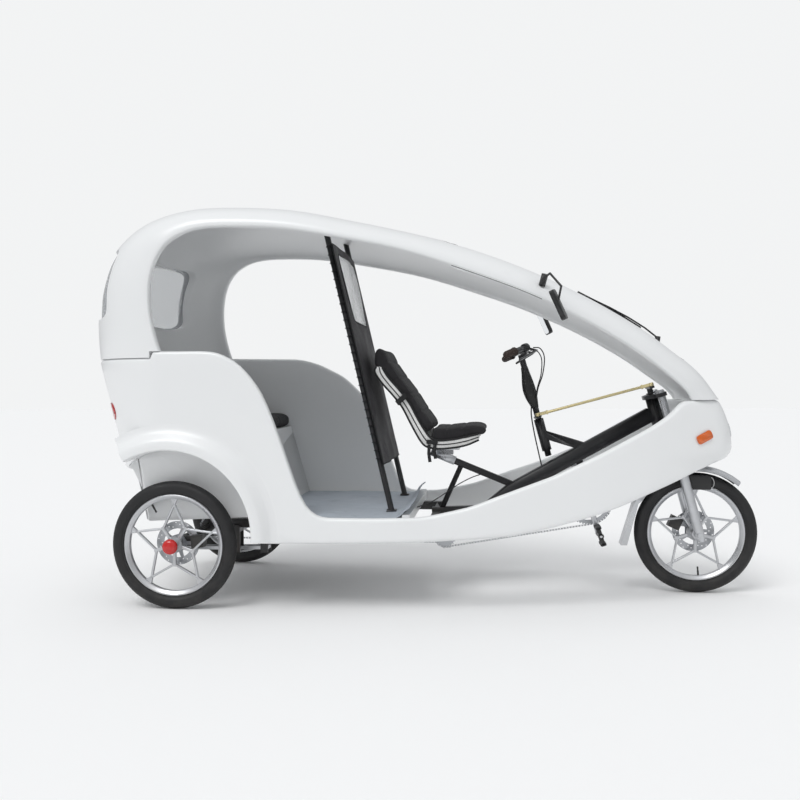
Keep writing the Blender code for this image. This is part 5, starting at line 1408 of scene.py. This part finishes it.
def mirror_face(name):
    """A thin glass plate just off the flat face of the mirror's solid that looks back."""
    mesh = frame["nodes"][name].data
    back = max((f for f in mesh.polygons if f.normal.x < -0.5), key=lambda f: f.area)
    normal = back.normal.copy()
    level = normal.dot(mesh.vertices[back.vertices[0]].co)
    flat = [v.co.copy() for v in mesh.vertices if abs(normal.dot(v.co) - level) < 0.0004]
    middle = sum(flat, Vector()) / len(flat)
    flat = [p for p in flat if (p - middle).length < 0.09]
    middle = sum(flat, Vector()) / len(flat)
    across = normal.orthogonal().normalized()
    along_it = normal.cross(across)
    flat.sort(key=lambda p: math.atan2((p - middle).dot(along_it), (p - middle).dot(across)))
    shift = Vector((AXLE_BACK, 0, 0))
    return loft([[tuple(middle + (p - middle) * 0.90 + normal * d + shift) for p in flat] for d in (-0.0004, 0.0008)])


for side in ("right", "left"):
    build(f"mirror_glass_{side}", [mirror_face("mirror_" + side)], "chassis", "plastic_black",
          EXTRA["mirror_glass"], 30.0)

LOOM = [(0.0, 0.0155), (0.08, 0.0185), (0.25, 0.0255), (0.45, 0.0285), (0.65, 0.0250), (0.85, 0.0185), (1.0, 0.0150)]
sleeve = []
for t, radius in smooth(LOOM, 26):
    up = 0.030 + 0.185 * t
    centre = at_column(up, -0.35 * (radius - 0.014))
    sleeve.append([tuple(centre + STEER_AHEAD * (radius * math.cos(a)) + SIDE * (radius * 0.8 * math.sin(a)))
                   for a in np.linspace(0, 2 * math.pi, 24, endpoint=False)])
build("column_loom", [loft(sleeve)], "handlebar", "frame_black", EXTRA["seal_black"], 60.0)


def cable(name, route, radius, body, material="cable_black", other=None):
    """A free cord along a smooth route in the design's places."""
    line = [Vector(p) for p in smooth([tuple(p) for p in route], 30)]
    made = build(name, [tube(line, round_section(radius, 10))], None if other else body, "plastic_black",
                 EXTRA[material], 60.0)
    if other:
        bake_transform(made)
    return made


for side, way in (("right", -1), ("left", 1)):
    cable(f"brake_cable_{side}", [(1.462, way * 0.150, 1.062), (1.492, way * 0.138, 1.058),
                                  (1.511, way * 0.112, 1.020),
                                  (1.506, way * 0.070, 0.950), (1.488, way * 0.036, 0.890),
                                  at_column(0.062, 0.012, way * 0.012)], 0.0025, "handlebar")
cable("column_cable", [at_column(0.045, -0.014), at_column(0.0, -0.026), at_column(-0.08, -0.034),
                       at_column(-0.16, -0.038), at_column(-0.232, -0.041)], 0.003, "handlebar",
      other="chassis")
cable("floor_cable", [(1.2375, -0.0100, 0.5080), (1.195, -0.034, 0.495), (1.140, -0.056, 0.468),
                      (1.085, -0.076, 0.432),
                      (1.020, -0.094, 0.393), (0.958, -0.104, 0.371)], 0.0022, "chassis")
box = slab(rounded(box_outline(2.118, 0.4515, 2.2166, 0.5106), 0.008), -0.060, -0.036)
build("fork_box", [box], "fork", "plastic_black", crease=35.0, bevel=0.002)
cable("fork_cable", [(2.2120, -0.050, 0.507), (2.2240, -0.051, 0.499), (2.2300, -0.052, 0.481),
                     (2.2250, -0.051, 0.463), (2.2120, -0.050, 0.4560)], 0.0016, "fork",
      "cable_white")
print("cables done")

# %% [markdown]
# Small fittings finish it: a black bead along the roof's near edge, painted shade for the dark gap there, and
# bolts where plates are clamped. The bolt is drawn once and a node tree sets one at every point, turned to the
# point's own direction.

# %% Painted shade line and bolts
# Painted shade: a black bead along the roof's near lower edge stands in for the shadow in the gap there.
SHADE_LINE_ROWS = range(97, 110)
shade_line_points = []
for row in SHADE_LINE_ROWS:
    outer = Vector(ROOF[row, 0])
    inward = Vector(ROOF[row, 0] - ROOF_OUT[row, 0] * WALL)
    away = Vector(ROOF[row, 0] - ROOF[row, 1]).normalized()
    shade_line_points.append(outer.lerp(inward, 0.28) + away * (WALL * 0.19))
build("roof_edge_slot", [tube([Vector(p) for p in smooth([tuple(p) for p in shade_line_points], 60)],
                              round_section(0.0026, 8))],
      "chassis", "plastic_black", EXTRA["seal_black"], 60.0)


def set_tree():
    """One of a given solid at every vertex, its z axis along the vertex's own direction."""
    tree, start, end, ids = repeat_tree("set_at_points", [
        ("Item", "NodeSocketObject", None), ("Material", "NodeSocketMaterial", None)])
    item = node(tree, "GeometryNodeObjectInfo", [("Object", start.outputs["Item"])])
    facing = node(tree, "GeometryNodeInputNamedAttribute", data_type="FLOAT_VECTOR")
    facing.inputs["Name"].default_value = "facing"
    turn = node(tree, "FunctionNodeAlignRotationToVector", [("Vector", facing.outputs[0])], axis="Z")
    points = node(tree, "GeometryNodeMeshToPoints", [(0, start.outputs["Geometry"])])
    placed = node(tree, "GeometryNodeInstanceOnPoints", [("Points", points.outputs[0]),
                                                         ("Instance", item.outputs["Geometry"]),
                                                         ("Rotation", turn.outputs[0])])
    close_tree(tree, end, placed.outputs[0], start.outputs["Material"])
    return tree, ids


SET_AT = set_tree()


def bolted(name, spots, item, body):
    """spots are (place, direction) pairs in the design's places."""
    made = raw_mesh(name, [place for place, _ in spots], [])
    facing = made.data.attributes.new("facing", "FLOAT_VECTOR", "POINT")
    for entry, (_, way) in zip(facing.data, spots):
        entry.vector = Vector(way).normalized()
    repeated(made, SET_AT, Item=item, Material=FINISH["steel"])
    return dress(made, body, "steel", None, 35.0)


bolt = item_mesh("hex_bolt", [rod((0, 0, 0), (0, 0, 0.0012), 0.0072, 20),
                              rod((0, 0, 0.0010), (0, 0, 0.0052), 0.0052, 6)])
crown_spots = [(at_steer(-0.004, LEG_AHEAD - 0.022, side), -STEER_DOWN) for side in (-0.055, 0.055)]
bolted("crown_bolts", crown_spots, bolt, "fork")
feet = []
for side in (-1, 1):
    for dx, dy in ((-0.020, -0.016), (0.020, -0.016), (-0.020, 0.016), (0.020, 0.016)):
        feet.append(((FOOT_X + dx, side * POST_SIDE + dy, FLOOR_TOP + 0.0065), (0, 0, 1)))
small = item_mesh("small_bolt", [rod((0, 0, 0), (0, 0, 0.0022), 0.0036, 6)])
bolted("post_foot_bolts", feet, small, "chassis")
for item in (bolt, small):
    bpy.data.objects.remove(item)
print("trim done")

SLOT_OF = {p["node"]: p["material_slot"] for p in frame["record"]["subparts"]}

# %% [markdown]
# The remaining solids already have the right shape. Each gets a copy with its loose triangles merged, smooth
# faces and its own finish.

# %% Solids that keep their shape
for name, solid in frame["nodes"].items():
    if solid.hide_render:
        continue
    slot = SLOT_OF[name]
    copy = linked(name + "_finished", solid.data.copy())
    tidy_mesh(copy.data, outward=False)
    dress(copy, solid["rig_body"], slot, None, 32.0, [name])

# %% [markdown]
# The light is plain and soft: an even sky that is brighter overhead and one broad sun. The sky shows the camera
# the floor's own pale shade, so no horizon line stands behind the vehicle, and the floor keeps its shadow. The
# camera stands where the photograph was taken from.

# %% Floor, light and camera
SKY_LOW, SKY_HIGH, BACKDROP = 0.35, 0.88, 0.905
SUN_STRENGTH, SUN_SPREAD, SUN_AIM = 1.20, math.radians(30), (0.28, 0.52, -0.82)
FLOOR_HALF, FLOOR_Z, FLOOR_SHADE = 30.0, -0.0005, 0.93
CAMERA_AT = Vector((0.3199, -3.9067, 0.9014))
YAW, PITCH, ROLL = -0.1076, -0.0160, -0.0050
LENS = 39.37

world = bpy.data.worlds.new("studio")
bpy.context.scene.world = world
world.use_nodes = True
tree = world.node_tree
tree.nodes.clear()
height = node(tree, "ShaderNodeSeparateXYZ", [(0, node(tree,
                                                       "ShaderNodeTexCoord").outputs["Generated"])]).outputs["Z"]
sky = remap(tree, height, 0.0, 1.0, SKY_LOW, SKY_HIGH)
soft = node(tree, "ShaderNodeBackground", [("Color", (0.97, 0.985, 1.0, 1.0)), ("Strength", sky)])
path = node(tree, "ShaderNodeLightPath")
direct = maths(tree, "MAXIMUM", path.outputs["Is Camera Ray"], path.outputs["Is Transmission Ray"])
shown = node(tree, "ShaderNodeBackground", [("Color", (0.985, 0.995, 1.0, 1.0)), ("Strength", BACKDROP)])
mixed = node(tree, "ShaderNodeMixShader", [(0, direct), (1, soft.outputs[0]), (2, shown.outputs[0])])
node(tree, "ShaderNodeOutputWorld", [("Surface", mixed.outputs[0])])

sun_data = bpy.data.lights.new("sun", "SUN")
sun_data.energy, sun_data.angle = SUN_STRENGTH, SUN_SPREAD
sun = linked("sun", sun_data)
sun.rotation_euler = Vector(SUN_AIM).to_track_quat("-Z", "Y").to_euler()

floor = linked("floor", bpy.data.meshes.new("floor"))
corners = box_outline(-FLOOR_HALF, -FLOOR_HALF, FLOOR_HALF, FLOOR_HALF)
floor.data.from_pydata([(x, y, FLOOR_Z) for x, y in corners], [], [(0, 1, 2, 3)])
paper = bpy.data.materials.new("pale_floor")
paper.use_nodes = True
paper.node_tree.nodes["Principled BSDF"].inputs["Base Color"].default_value = (*[FLOOR_SHADE] * 3, 1)
paper.node_tree.nodes["Principled BSDF"].inputs["Roughness"].default_value = 0.9
floor.data.materials.append(paper)

camera_data = bpy.data.cameras.new("camera")
camera_data.lens, camera_data.sensor_width = LENS, 36.0
camera = linked("camera", camera_data)
ahead = Vector((math.sin(YAW) * math.cos(PITCH), math.cos(YAW) * math.cos(PITCH), math.sin(PITCH)))
right = Vector((math.cos(YAW), -math.sin(YAW), 0.0))
up = right.cross(ahead)
tilted = right * math.cos(ROLL) + up * math.sin(ROLL)
lifted = -right * math.sin(ROLL) + up * math.cos(ROLL)
place = Matrix((tilted, lifted, -ahead)).transposed().to_4x4()
place.translation = CAMERA_AT
camera.matrix_world = place
bpy.context.scene.camera = camera
bpy.context.scene.view_settings.view_transform = "Standard"
